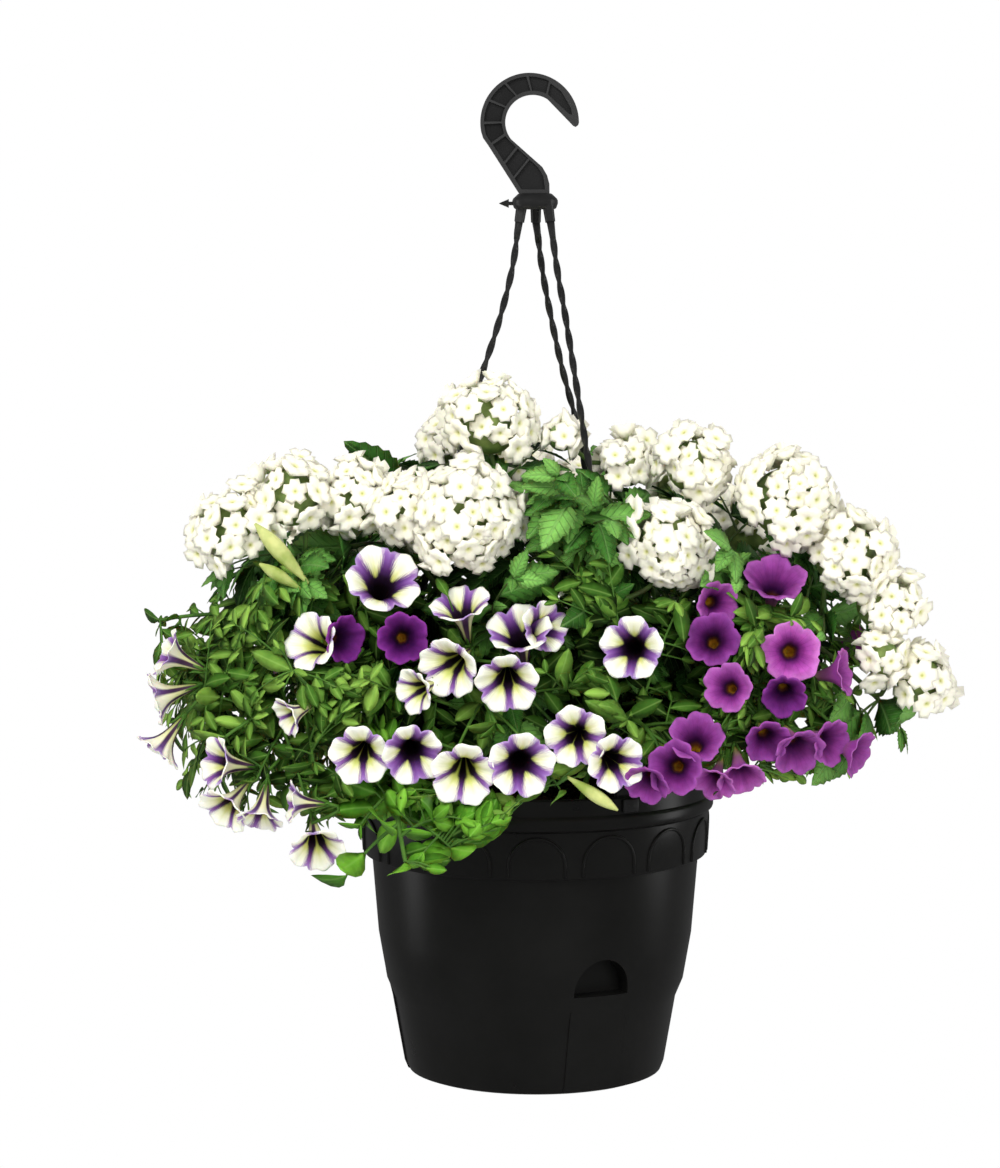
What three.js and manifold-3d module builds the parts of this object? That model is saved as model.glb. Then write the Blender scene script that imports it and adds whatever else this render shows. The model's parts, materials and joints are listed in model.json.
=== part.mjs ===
// Petunia hanging basket: a black plastic hanging pot with watering mouths, filled with potting
// soil and three plants, under a moulded hook with three strands.
// Millimetres, +Z up. The origin is the middle of the pot's underside, and the front is -Y.
import * as THREE from "three";
import { ConvexHull } from "three/addons/math/ConvexHull.js";
import { mergeVertices } from "three/addons/utils/BufferGeometryUtils.js";
import Module from "manifold-3d";

const wasm = await Module();
wasm.setup();

// Driving dimensions of the pot
const RIM_RADIUS = 125;
const RIM_HEIGHT = 212;
const BAND = { bottom: 157, top: 189, lowRadius: 121.4, highRadius: 123.4, rootRadius: 112 };
const FLOOR_TOP = 5;
const POT_SIDES = 24;
const POT_OUTSIDE = [
  [89.5, 0], [92.5, 7], [100.6, 54], [106, 67], [111.7, 100], [116.2, 156], [BAND.lowRadius, BAND.bottom],
  [BAND.highRadius, BAND.top], [126.4, 191], [126.8, 198], [RIM_RADIUS, 200], [RIM_RADIUS, RIM_HEIGHT],
];
const POT_INSIDE = [[89, FLOOR_TOP], [98.2, 54], [103.6, 67], [113.8, 155], [121, 196], [122.4, RIM_HEIGHT]];
const ARCHES = 15;
const ARCH = { width: 40, height: 28, bottom: 158, rib: 2.2, relief: 1.3 };
const MOUTHS = 3;
const MOUTH = { width: 41, height: 26, bottom: 71.5, back: 92, azimuth: 25, wall: 2.2 };
const PANEL = { width: 42, rootRadius: 80, outside: [[91, 0], [94.6, 7], [106.9, MOUTH.bottom]] };
const STRAND_HOLE = { width: 8, height: 5, at: 206 };
// Cutting shapes run from inside the wall to outside it
const CUT_FROM = 60;
const CUT_TO = 129;

// Soil, a little domed, and how deep the stems stand in it
const SOIL_TOP = 198;
const SOIL_SURFACE = [[118, 192], [60, 204], [0, 204]];
const SOIL_GAP = 0.5;
const ROOT_DEPTH = 14;

// Hanger: hook and collar in one moulding, and three twisted strands that clip in the rim
const HOOK = {
  thickness: 8, web: 3, border: 2.6,
  outer: { x: -4.3, z: 671.6, r: 34.5, from: 0, to: 190 },
  inner: { x: -2.1, z: 671.9, r: 19.2, from: 218, to: 57 },
  shankLeft: [[-36.9, 661.2], [-33.4, 656.2], [-11.4, 622], [-11.4, 618]],
  shankRight: [[9.8, 618], [9.6, 629], [8, 635], [4.6, 640.8], [-16.3, 659.9]],
  tip: [[26.3, 669.6], [28.1, 668.8], [29.8, 670.2]],
};
// Recesses between the hook's ribs: some round the bend, in degrees, and panels in the tip and shank
const BEND_RECESSES = { count: 4, first: 65, pitch: 29.2, length: 26.2 };
const HOOK_PANELS = [
  [[8.4, 691.2], [10.2, 698.8], [17.8, 693.2], [24.4, 682], [25.4, 677], [23, 677.8]],
  [[-36.2, 670.5], [-35, 663.4], [-31.2, 657.6], [-22.2, 664], [-23.9, 671.1]],
  [[-30, 656.3], [-21.4, 662.3], [-17.6, 658.2], [-13.8, 654.8], [-22.2, 644.4]],
  [[-21.3, 643], [-12.6, 653.6], [-5.2, 646.8], [-15.6, 634.1]],
  [[-14.8, 632.8], [-4.2, 645.9], [1.8, 640.2], [5.2, 634.6], [6.6, 625.2], [-9.9, 625.2]],
];
const COLLAR = { x: -0.4, z: 617, width: 32, height: 11, depth: 28, sides: 16 };
const COLLAR_EDGE = [[0, -1], [0.88, -1], [1, -0.3], [1, 0.15], [0.7, 1], [0, 1]];
const ARROW = { z: 615.5, neck: [-13, -19.6], neckRadius: 1.4, head: [-18.8, -25.5], headRadius: 3.1, tipRadius: 0.3 };
const SOCKET = { wall: 1.6, drop: 2.5, boreDrop: 9, inwards: 0.8 };
const STRAND = { thickness: 4.6, sides: 6, steps: 12 };
const STRAND_FOOT = {
  width: 7.2, height: 4.2, inwards: 2.5, outwards: 3, padWidth: 12, padHeight: 14, padLift: 4, padThickness: 4.5,
  headHeight: 9, headGap: 0.5, headThickness: 2.4,
};
const STRAND_ROUTES = {
  hanger_strand_left: [
    [-11.5, 0, 605], [-16.4, 0, 570], [-26.6, 0, 530], [-41.5, -1, 484], [-78, -1, 350], [-112, 0, 226], [-117, 0, 212],
  ],
  hanger_strand_front: [
    [10.2, -9, 605], [14.8, -17, 570], [21, -27, 534], [34.1, -49, 450], [39, -58, 420], [50, -80, 320], [57, -97, 226],
    [59, -101, 212],
  ],
  hanger_strand_back: [
    [0.3, 11, 605], [5.6, 20, 565], [18, 35, 505], [33, 50, 446], [48, 80, 340], [57, 97, 226], [59, 101, 212],
  ],
};

// Clearance between neighbouring pieces, the finest detail kept, and the sharpest corner that
// gets its whole clearance
const GAP = 0.4;
const SLIVER = 0.1;
const SHARPEST = 0.35;

// Flowers: middle of the face (across, depth, height), width, and where it faces: turned to the
// right and tilted up, in degrees. Each list entry is one spray of flowers whose petals touch.
const STRIPED_FLOWERS = {
  striped_flower_top_left: [[-104, -108, 361, 52, 10, 35]],
  striped_flower_top_middle: [[-52, -123, 346, 42, -20, 60]],
  striped_flowers_centre_top: [[-12, -134, 330, 46, -10, 50], [6, -136, 331, 36, 30, 10]],
  striped_flower_left: [[-153, -122, 320, 42, -35, 20]],
  striped_flowers_centre: [[-60, -147, 304, 44, -25, -15], [-20, -154, 295, 43, 0, -15], [-83, -150, 289, 32, -40, -10]],
  striped_flowers_rim_left: [[-118, -159, 247, 42, -5, -10], [-83, -166, 249, 42, 5, -10], [-49, -171, 236, 45, 0, -15]],
  striped_flowers_rim_middle: [[-11, -173, 243, 45, 5, -5], [25, -167, 261, 42, -5, 0], [52, -171, 244, 40, 15, -5]],
  striped_flower_right: [[63, -139, 317, 44, -10, 5]],
  striped_flowers_far_left: [[-254, -92, 309, 36, -78, 25], [-262, -88, 277, 38, -80, -15], [-260, -91, 240, 36, -72, -52]],
  striped_flowers_low_left: [[-218, -125, 238, 38, -60, 10], [-212, -130, 205, 38, -40, -35], [-187, -142, 200, 34, -20, -60]],
  striped_flower_low_front: [[-147, -156, 183, 39, 10, -35]],
  striped_flower_low_side: [[-165, -152, 215, 29, -78, 5]],
  striped_flower_left_inner: [[-169, -137, 270, 30, -60, -20]],
  striped_flowers_back_left: [[-185, 120, 282, 42, -125, 5], [-166, 138, 258, 42, -130, -15]],
  striped_flower_back_side: [[-232, 40, 300, 42, -100, 10]],
};
const VIOLET_FLOWERS = {
  violet_flower_left: [[-90, -132, 323, 36, 5, 5]],
  violet_flower_left_hidden: [[-129, -122, 321, 34, 40, 0]],
  violet_flowers_top: [[122, -118, 345, 32, 20, 0], [118, -128, 322, 38, -5, 15]],
  violet_flower_top_right: [[162, -99, 361, 44, 5, 50]],
  violet_flowers_right: [[171, -128, 313, 42, 0, 5], [166, -134, 284, 32, 0, -20]],
  violet_flower_side_right: [[209, -113, 298, 34, 70, 10]],
  violet_flower_middle: [[127, -142, 291, 34, -15, 10]],
  violet_flowers_rim: [[106, -157, 260, 38, 0, 35], [91, -165, 240, 38, -10, 5], [72, -169, 229, 32, -20, -30]],
  violet_flowers_low_right: [[154, -147, 255, 32, 10, -20], [176, -142, 247, 37, 20, -30], [199, -131, 252, 34, 40, -10], [219, -122, 243, 34, 60, -20]],
  violet_flowers_low: [[136, -157, 231, 34, 10, -45], [117, -160, 228, 30, -20, -40]],
  violet_flowers_back_right: [[190, 110, 288, 42, 125, 5], [172, 130, 264, 42, 130, -15]],
  violet_flower_back_side: [[235, 35, 300, 40, 95, 10]],
};

// Verbena flower heads: middle (across, depth, height), radius and the number of florets
const VERBENA_HEADS = {
  verbena_heads_front_left: [[-47, -92, 399, 41, 9], [-87, -74, 405, 28, 5]],
  verbena_head_top: [[-33, -40, 463, 34, 7]],
  verbena_heads_front_middle: [[18, -36, 453, 15, 4], [63, -25, 434, 25, 5]],
  verbena_head_front_right: [[89, -99, 381, 34, 7]],
  verbena_head_right: [[108, -56, 434, 28, 5]],
  verbena_heads_left: [[-207, -72, 391, 31, 5], [-169, -62, 413, 31, 5], [-124, -56, 411, 29, 5]],
  verbena_heads_right: [[171, -69, 410, 37, 8], [213, -72, 373, 34, 7], [238, -72, 340, 28, 5]],
  verbena_heads_far_right: [[236, -84, 305, 20, 4], [264, -72, 288, 25, 4]],
  verbena_heads_back_left: [[-150, 110, 382, 34, 4], [-112, 148, 352, 34, 4]],
  verbena_heads_back_middle: [[-20, 120, 420, 36, 4], [34, 150, 392, 36, 4]],
  verbena_heads_back_right: [[112, 112, 402, 34, 4], [160, 80, 378, 32, 4]],
  verbena_head_back_low: [[50, 196, 305, 33, 4]],
  verbena_head_back_crown: [[-55, 30, 445, 28, 4]],
};

// Leafy shoots: where each is rooted, the way its main stem bends, its tip, and its side shoots
// as [place along the main stem, tip]
const PETUNIA_LEAF = { length: 29, width: 12, stem: 1.3, turn: 137.5, rise: 34 };
const SPOON_LEAF = { length: 38, width: 19, stem: 1.5, turn: 137.5, rise: 38 };
const VERBENA_LEAF = { length: 50, width: 27, stem: 1.7, turn: 90, rise: 40, toothed: true };
const SHOOTS = {
  petunia_shoot_front: {
    leaf: PETUNIA_LEAF, root: [-35, -60], bend: [-45, -118, 300], tip: [-28, -150, 268], seed: 11,
    sides: [[0.55, [-95, -128, 285]], [0.6, [20, -140, 290]], [0.75, [-65, -158, 222]], [0.8, [15, -160, 225]], [0.5, [-60, -118, 350]]],
  },
  petunia_shoot_low_front: {
    leaf: SPOON_LEAF, root: [-72, -52], bend: [-110, -130, 272], tip: [-88, -158, 176], seed: 23,
    sides: [[0.8, [-58, -160, 186]], [0.85, [-128, -150, 165]], [0.9, [-70, -162, 205]], [0.7, [-118, -152, 200]]],
  },
  petunia_shoot_left: {
    leaf: PETUNIA_LEAF, root: [-88, -30], bend: [-150, -80, 300], tip: [-212, -100, 252], seed: 31,
    sides: [[0.6, [-165, -122, 300]], [0.7, [-190, -122, 225]], [0.7, [-150, -138, 240]], [0.85, [-235, -85, 280]], [0.8, [-150, -142, 195]]],
  },
  petunia_shoot_far_left: {
    leaf: PETUNIA_LEAF, root: [-92, 4], bend: [-160, -30, 345], tip: [-262, -42, 326], seed: 43,
    sides: [[0.5, [-150, -85, 355]], [0.6, [-185, -75, 365]], [0.75, [-225, -50, 300]], [0.75, [-225, 20, 305]], [0.5, [-115, -95, 345]]],
  },
  petunia_shoot_back_left: {
    leaf: PETUNIA_LEAF, root: [-80, 40], bend: [-130, 85, 300], tip: [-170, 125, 240], seed: 57,
    sides: [[0.5, [-205, 60, 280]], [0.65, [-120, 160, 265]], [0.8, [-200, 105, 225]], [0.6, [-180, 90, 320]]],
  },
  violet_shoot_front: {
    leaf: PETUNIA_LEAF, root: [30, -62], bend: [75, -118, 300], tip: [88, -152, 225], seed: 61,
    sides: [[0.5, [55, -125, 330]], [0.6, [60, -146, 270]], [0.7, [122, -142, 262]], [0.75, [118, -150, 222]], [0.65, [95, -110, 340]]],
  },
  violet_shoot_right: {
    leaf: PETUNIA_LEAF, root: [82, -40], bend: [150, -80, 315], tip: [200, -108, 262], seed: 73,
    sides: [[0.5, [150, -98, 335]], [0.65, [165, -120, 262]], [0.8, [222, -92, 300]], [0.7, [150, -135, 235]]],
  },
  violet_shoot_back_right: {
    leaf: PETUNIA_LEAF, root: [90, 30], bend: [150, 60, 300], tip: [185, 85, 245], seed: 83,
    sides: [[0.5, [215, 20, 285]], [0.65, [145, 120, 262]], [0.8, [215, 60, 235]], [0.6, [180, 75, 310]]],
  },
  verbena_shoot_front: {
    leaf: VERBENA_LEAF, root: [2, -20], bend: [10, -60, 370], tip: [28, -95, 392], seed: 97,
    sides: [[0.55, [40, -112, 345]], [0.6, [-30, -95, 340]], [0.7, [-20, -62, 425]], [0.7, [60, -70, 400]]],
  },
  verbena_shoot_left: {
    leaf: VERBENA_LEAF, root: [-42, 12], bend: [-70, -15, 390], tip: [-128, -45, 378], seed: 103,
    sides: [[0.6, [-85, -62, 372]], [0.75, [-165, -50, 372]], [0.75, [-95, 10, 415]]],
  },
  verbena_shoot_right: {
    leaf: VERBENA_LEAF, root: [46, 8], bend: [110, -20, 400], tip: [238, -58, 272], seed: 113,
    sides: [[0.4, [130, -72, 365]], [0.5, [150, -30, 395]], [0.65, [200, -45, 330]], [0.8, [255, -30, 300]], [0.55, [180, 10, 350]]],
  },
  verbena_shoot_back_left: {
    leaf: VERBENA_LEAF, root: [-30, 55], bend: [-55, 110, 370], tip: [-75, 182, 255], seed: 127,
    sides: [[0.45, [-125, 95, 345]], [0.6, [-20, 150, 340]], [0.75, [-120, 160, 300]], [0.8, [-20, 185, 260]], [0.4, [-95, 60, 390]]],
  },
  verbena_shoot_back_right: {
    leaf: VERBENA_LEAF, root: [35, 50], bend: [75, 105, 370], tip: [120, 165, 250], seed: 139,
    sides: [[0.45, [150, 70, 340]], [0.6, [60, 160, 330]], [0.75, [155, 125, 290]], [0.8, [60, 188, 250]], [0.4, [55, 55, 410]]],
  },
};
// Closed buds that hang on the shoots: foot, tip and thickness
const BUDS = {
  petunia_shoot_far_left: [[[-155, -108, 358], [-190, -116, 399], 11]],
  petunia_shoot_front: [[[20, -158, 233], [53, -173, 213], 9]],
};

const COLOURS = {
  pot: { color: 0x1b1c1c, roughness: 0.32 },
  soil: { color: 0x2b1d14, roughness: 0.95 },
  hanger: { color: 0x1d1e1e, roughness: 0.4 },
  striped: { color: 0xe9e4c8, roughness: 0.6 },
  violet: { color: 0x7a1ea1, roughness: 0.6 },
  verbena: { color: 0xf3f1e8, roughness: 0.65 },
  petuniaLeaf: { color: 0x4f8a2e, roughness: 0.6 },
  verbenaLeaf: { color: 0x2f5a26, roughness: 0.6 },
};

// Seeded random numbers from 0 to 1
function seeded(seed) {
  let state = seed;
  return () => {
    state = (state * 16807) % 2147483647;
    return state / 2147483647;
  };
}

const at = (x, y, z) => new THREE.Vector3(x, y, z);
const radians = THREE.MathUtils.degToRad;
const onCircle = (r, angle) => [r * Math.cos(angle), r * Math.sin(angle)];

// A closed solid from points and triangles
function solidOf(points, faces) {
  const vertProperties = new Float32Array(points.flatMap((p) => [p.x, p.y, p.z]));
  return new wasm.Manifold(new wasm.Mesh({ numProp: 3, vertProperties, triVerts: new Uint32Array(faces.flat()) }));
}

// A three.js geometry as a closed solid
function solidFromGeometry(geometry) {
  const bare = new THREE.BufferGeometry();
  bare.setAttribute("position", geometry.getAttribute("position").clone());
  if (geometry.index) bare.setIndex(geometry.index.clone());
  const merged = mergeVertices(bare, 1e-3);
  return new wasm.Manifold(new wasm.Mesh({
    numProp: 3,
    vertProperties: merged.attributes.position.array,
    triVerts: new Uint32Array(merged.index.array),
  }));
}

function merged(solid) {
  return solidFromGeometry(geometryOf(solid));
}

function geometryOf(solid) {
  const mesh = solid.getMesh();
  const geometry = new THREE.BufferGeometry();
  geometry.setAttribute("position", new THREE.BufferAttribute(new Float32Array(mesh.vertProperties), 3));
  geometry.setIndex(new THREE.BufferAttribute(new Uint32Array(mesh.triVerts), 1));
  return geometry;
}

// The same solid with its whole surface moved out, to keep a gap to a neighbour. A sharp corner
// moves further than a flat stretch, so that each face beside it moves by the full distance.
function grown(solid, by) {
  const geometry = geometryOf(solid);
  geometry.computeVertexNormals();
  const { position, normal } = geometry.attributes;
  const corners = geometry.index.array;
  const outwards = Array.from({ length: position.count }, (_, i) => at(0, 0, 0).fromBufferAttribute(normal, i));
  const share = outwards.map(() => 1);
  const triangle = new THREE.Triangle();
  const face = at(0, 0, 0);
  for (let i = 0; i < corners.length; i += 3) {
    const three = [corners[i], corners[i + 1], corners[i + 2]];
    triangle.setFromAttributeAndIndices(position, ...three).getNormal(face);
    for (const corner of three) share[corner] = Math.min(share[corner], face.dot(outwards[corner]));
  }
  outwards.forEach((direction, i) => {
    const moved = direction.multiplyScalar(by / Math.max(share[i], SHARPEST));
    position.setXYZ(i, position.getX(i) + moved.x, position.getY(i) + moved.y, position.getZ(i) + moved.z);
  });
  return solidFromGeometry(geometry).add(solid);
}

// The largest body of a solid, without slivers and the scraps that a cut leaves
function mainBody(solid) {
  const bodies = merged(merged(solid).simplify(SLIVER)).decompose();
  return bodies.reduce((best, body) => (body.volume() > best.volume() ? body : best), bodies[0]);
}

function boxesMeet(a, b) {
  const p = a.boundingBox();
  const q = b.boundingBox();
  return [0, 1, 2].every((i) => p.min[i] < q.max[i] && q.min[i] < p.max[i]);
}

function withoutNeighbours(solid, neighbours) {
  let cut = solid;
  for (const neighbour of neighbours) {
    if (boxesMeet(solid, neighbour)) cut = cut.subtract(neighbour);
  }
  return mainBody(cut);
}

// A closed skin over rings of points, each ring with as many points
function loft(rings) {
  const n = rings[0].length;
  const points = rings.flat();
  const faces = [];
  for (let i = 0; i + 1 < rings.length; i++) {
    for (let j = 0; j < n; j++) {
      const a = i * n + j;
      const b = i * n + ((j + 1) % n);
      faces.push([a, b, b + n], [a, b + n, a + n]);
    }
  }
  const last = (rings.length - 1) * n;
  for (let j = 1; j + 1 < n; j++) {
    faces.push([0, j + 1, j], [last, last + j, last + j + 1]);
  }
  return solidOf(points, faces);
}

// Two directions square to a line
function squareTo(direction) {
  const side = Math.abs(direction.z) > 0.95 ? at(1, 0, 0) : at(0, 0, 1);
  const u = side.cross(direction).normalize();
  return [u, direction.clone().cross(u)];
}

// A round stem along a curve, with its radius given along the curve
function stem(curve, radiusAt, sides, steps) {
  const { normals, binormals } = curve.computeFrenetFrames(steps);
  return loft(normals.map((u, i) => {
    const middle = curve.getPointAt(i / steps);
    return Array.from({ length: sides }, (_, j) => {
      const [a, b] = onCircle(radiusAt(i / steps), (2 * Math.PI * j) / sides);
      return middle.clone().addScaledVector(u, a).addScaledVector(binormals[i], b);
    });
  }));
}

// A lathe round +Z, with its outline listed from the bottom, outside first
function turned(outline, sides = POT_SIDES) {
  const points = outline.map(([r, z]) => new THREE.Vector2(r, z));
  return solidFromGeometry(new THREE.LatheGeometry(points, sides).rotateX(Math.PI / 2));
}

// A flat shape in the across and height plane, pushed from the axis outwards, at an azimuth
function radialPrism(shape, from, to, azimuth, curveSegments = 3) {
  const geometry = new THREE.ExtrudeGeometry(shape, { depth: to - from, bevelEnabled: false, curveSegments });
  geometry.translate(0, 0, from).rotateX(Math.PI / 2).rotateZ(radians(azimuth));
  return solidFromGeometry(geometry);
}

function roundTopped(width, height, bottom, square) {
  const shape = new THREE.Shape();
  shape.moveTo(-width / 2, bottom);
  shape.lineTo(width / 2, bottom);
  shape.lineTo(width / 2, bottom + square);
  shape.absellipse(0, bottom + square, width / 2, height - square, 0, Math.PI, false);
  return shape;
}

function mouthShape(extra) {
  return roundTopped(MOUTH.width + 2 * extra, MOUTH.height + 2 * extra, MOUTH.bottom - extra, 3);
}

function mouthAzimuths() {
  return Array.from({ length: MOUTHS }, (_, i) => MOUTH.azimuth + (360 * i) / MOUTHS);
}

// The pocket behind each watering mouth, as it bulges into the pot
function mouthPockets(extra) {
  const pockets = mouthAzimuths().map((azimuth) =>
    radialPrism(mouthShape(MOUTH.wall + extra), MOUTH.back - MOUTH.wall - extra, RIM_RADIUS, azimuth));
  return wasm.Manifold.union(pockets);
}

function makePot() {
  const outside = turned([[0, 0], ...POT_OUTSIDE, [0, RIM_HEIGHT]]);
  const mouthRadius = POT_INSIDE.at(-1)[0];
  const above = RIM_HEIGHT + 1;
  const inside = turned([[0, FLOOR_TOP], ...POT_INSIDE, [mouthRadius, above], [0, above]]);
  const bandSkin = turned([
    [BAND.rootRadius, BAND.bottom], [BAND.lowRadius + ARCH.relief, BAND.bottom],
    [BAND.highRadius + ARCH.relief, BAND.top], [BAND.rootRadius, BAND.top], [BAND.rootRadius, BAND.bottom],
  ]);
  const panelPlan = new THREE.Shape(rectangle(PANEL.width, MOUTH.bottom, MOUTH.bottom / 2));
  const panels = mouthAzimuths().map((azimuth) => radialPrism(panelPlan, CUT_FROM, CUT_TO, azimuth));
  const panelSkin = turned([
    [PANEL.rootRadius, 0], ...PANEL.outside, [PANEL.rootRadius, MOUTH.bottom], [PANEL.rootRadius, 0],
  ]);
  const mouths = mouthAzimuths().map((azimuth) => radialPrism(mouthShape(0), MOUTH.back, CUT_TO, azimuth));
  const holeShape = new THREE.Shape(rectangle(STRAND_HOLE.width, STRAND_HOLE.height, STRAND_HOLE.at));
  const holes = Object.values(STRAND_ROUTES).map((route) =>
    radialPrism(holeShape, CUT_FROM, CUT_TO, strandAzimuth(route)));
  return outside
    .add(panelSkin.intersect(wasm.Manifold.union(panels)))
    .add(bandSkin.intersect(archPrisms(0)).subtract(archPrisms(ARCH.rib)))
    .subtract(inside)
    .add(mouthPockets(0).intersect(outside))
    .subtract(wasm.Manifold.union([...mouths, ...holes]));
}

// Arches all round the band, each pushed outwards, and open at its foot
function archPrisms(inset) {
  const { width, height, bottom } = ARCH;
  const shape = roundTopped(width - 2 * inset, height, bottom - inset, height - width / 2 + inset);
  const azimuths = Array.from({ length: ARCHES }, (_, i) => (360 * i) / ARCHES);
  return wasm.Manifold.union(azimuths.map((azimuth) => radialPrism(shape, CUT_FROM, CUT_TO, azimuth, 2)));
}

function flatPoint([x, z]) {
  return new THREE.Vector2(x, z);
}

function rectangle(width, height, middle) {
  const [w, h] = [width / 2, height / 2];
  return [[-w, middle - h], [w, middle - h], [w, middle + h], [-w, middle + h]].map(flatPoint);
}

// Where a strand meets the rim, in degrees from the front
function strandAzimuth(route) {
  const [x, y] = route.at(-1);
  return (Math.atan2(x, -y) * 180) / Math.PI;
}

function makeSoil() {
  const walls = POT_INSIDE.slice(0, -2).map(([r, z]) => [r - SOIL_GAP, z + SOIL_GAP]);
  const body = turned([[0, FLOOR_TOP + SOIL_GAP], ...walls, ...SOIL_SURFACE]);
  return body.subtract(mouthPockets(SOIL_GAP));
}

// The hook's outline, flat in the across and height plane
function hookOutline() {
  const { outer, inner, shankLeft, shankRight, tip } = HOOK;
  const shape = new THREE.Shape();
  shape.moveTo(...shankRight[0]);
  shankRight.slice(1).forEach((p) => shape.lineTo(...p));
  shape.absarc(inner.x, inner.z, inner.r, radians(inner.from), radians(inner.to), true);
  tip.forEach((p) => shape.lineTo(...p));
  shape.absarc(outer.x, outer.z, outer.r, radians(outer.from), radians(outer.to), false);
  shankLeft.forEach((p) => shape.lineTo(...p));
  return shape;
}

function hookRecesses() {
  const { outer, inner, border } = HOOK;
  const { count, first, pitch, length } = BEND_RECESSES;
  const onRing = ({ x, z }, reach) => (angle) => [x + reach * Math.cos(angle), z + reach * Math.sin(angle)];
  const rings = Array.from({ length: count }, (_, i) => {
    const angles = [0, 0.5, 1].map((share) => radians(first + pitch * i + length * share));
    const outside = angles.map(onRing(outer, outer.r - border));
    return [...outside, ...angles.toReversed().map(onRing(inner, inner.r + border))];
  });
  return [...rings, ...HOOK_PANELS];
}

function hookPlate(outline, depth, middle) {
  const geometry = new THREE.ExtrudeGeometry(outline, { depth, bevelEnabled: false, curveSegments: 7 });
  return solidFromGeometry(geometry.translate(0, 0, -depth / 2).rotateX(Math.PI / 2).translate(0, middle, 0));
}

function makeHook() {
  const { thickness, web } = HOOK;
  const recess = (thickness - web) / 2;
  let hook = hookPlate(hookOutline(), thickness, 0);
  for (const corners of hookRecesses()) {
    const shape = new THREE.Shape(corners.map(flatPoint));
    for (const side of [-1, 1]) {
      hook = hook.subtract(hookPlate(shape, recess + 1, (side * (thickness + 1 - recess)) / 2));
    }
  }
  const collar = new THREE.LatheGeometry(COLLAR_EDGE.map(flatPoint), COLLAR.sides).rotateX(Math.PI / 2);
  collar.scale(COLLAR.width / 2, COLLAR.depth / 2, COLLAR.height / 2).translate(COLLAR.x, 0, COLLAR.z);
  const { z: arrowZ, neck, neckRadius, head, headRadius, tipRadius } = ARROW;
  const arrowNeck = stem(line(at(neck[0], 0, arrowZ), at(neck[1], 0, arrowZ)), () => neckRadius, 4, 1);
  const arrowHead = stem(line(at(head[0], 0, arrowZ), at(head[1], 0, arrowZ)),
    (t) => headRadius + (tipRadius - headRadius) * t, 4, 1);
  const tops = Object.values(STRAND_ROUTES).map(([top]) => top);
  const sockets = tops.map(([x, y, z]) =>
    stem(line(at(...towardsAxis(x, y), COLLAR.z), at(x, y, z - SOCKET.drop)), () => STRAND.thickness / 2 + SOCKET.wall, 8, 1));
  const bores = tops.map(([x, y, z]) =>
    stem(line(at(x, y, z + 1), at(x, y, z - SOCKET.boreDrop)), () => STRAND.thickness / 2 + 2 * GAP, 8, 1));
  return wasm.Manifold.union([hook, solidFromGeometry(collar), arrowNeck, arrowHead, ...sockets])
    .subtract(wasm.Manifold.union(bores));
}

function towardsAxis(x, y) {
  return [COLLAR.x + SOCKET.inwards * (x - COLLAR.x), SOCKET.inwards * y];
}

function line(from, to) {
  return new THREE.LineCurve3(from, to);
}

// A strand: its tube, and a foot that passes through the rim and is headed outside
function makeStrand(route) {
  const curve = new THREE.CatmullRomCurve3(route.map((p) => at(...p)));
  const corners = Array.from({ length: STRAND.sides }, (_, i) =>
    flatPoint(onCircle(STRAND.thickness / 2, (2 * Math.PI * i) / STRAND.sides)));
  const tube = solidFromGeometry(
    new THREE.ExtrudeGeometry(new THREE.Shape(corners), { extrudePath: curve, steps: STRAND.steps }));
  const azimuth = strandAzimuth(route);
  const { width, height, inwards, outwards, padWidth, padHeight, padLift, padThickness } = STRAND_FOOT;
  const { headHeight, headGap, headThickness } = STRAND_FOOT;
  const start = Math.hypot(...route.at(-1).slice(0, 2)) - inwards;
  const plate = (across, high, middle, from, to) =>
    radialPrism(new THREE.Shape(rectangle(across, high, middle)), from, to, azimuth);
  const shank = plate(width, height, STRAND_HOLE.at, start, RIM_RADIUS + outwards);
  const pad = plate(padWidth, padHeight, STRAND_HOLE.at + padLift, start, start + padThickness);
  const headFrom = RIM_RADIUS + headGap;
  const head = plate(padWidth, headHeight, STRAND_HOLE.at, headFrom, headFrom + headThickness);
  return wasm.Manifold.union([tube, shank, pad, head]);
}

function facing(turn, tilt) {
  const [t, e] = [radians(turn), radians(tilt)];
  return at(Math.sin(t) * Math.cos(e), -Math.cos(t) * Math.cos(e), Math.sin(e));
}

// A trumpet's points as shares of its radius: reach from its axis, and depth behind its face
const TUBE_LENGTH = 1.8;
const TRUMPET = { notch: [0.85, 0.02], throat: [0.26, 0.5], neck: [0.37, 0.68], pit: [0, 1], foot: [0, TUBE_LENGTH] };
const LOBE_TIPS = [0.3, 0.7];
const LOBE_WAVE = 0.1;

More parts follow.
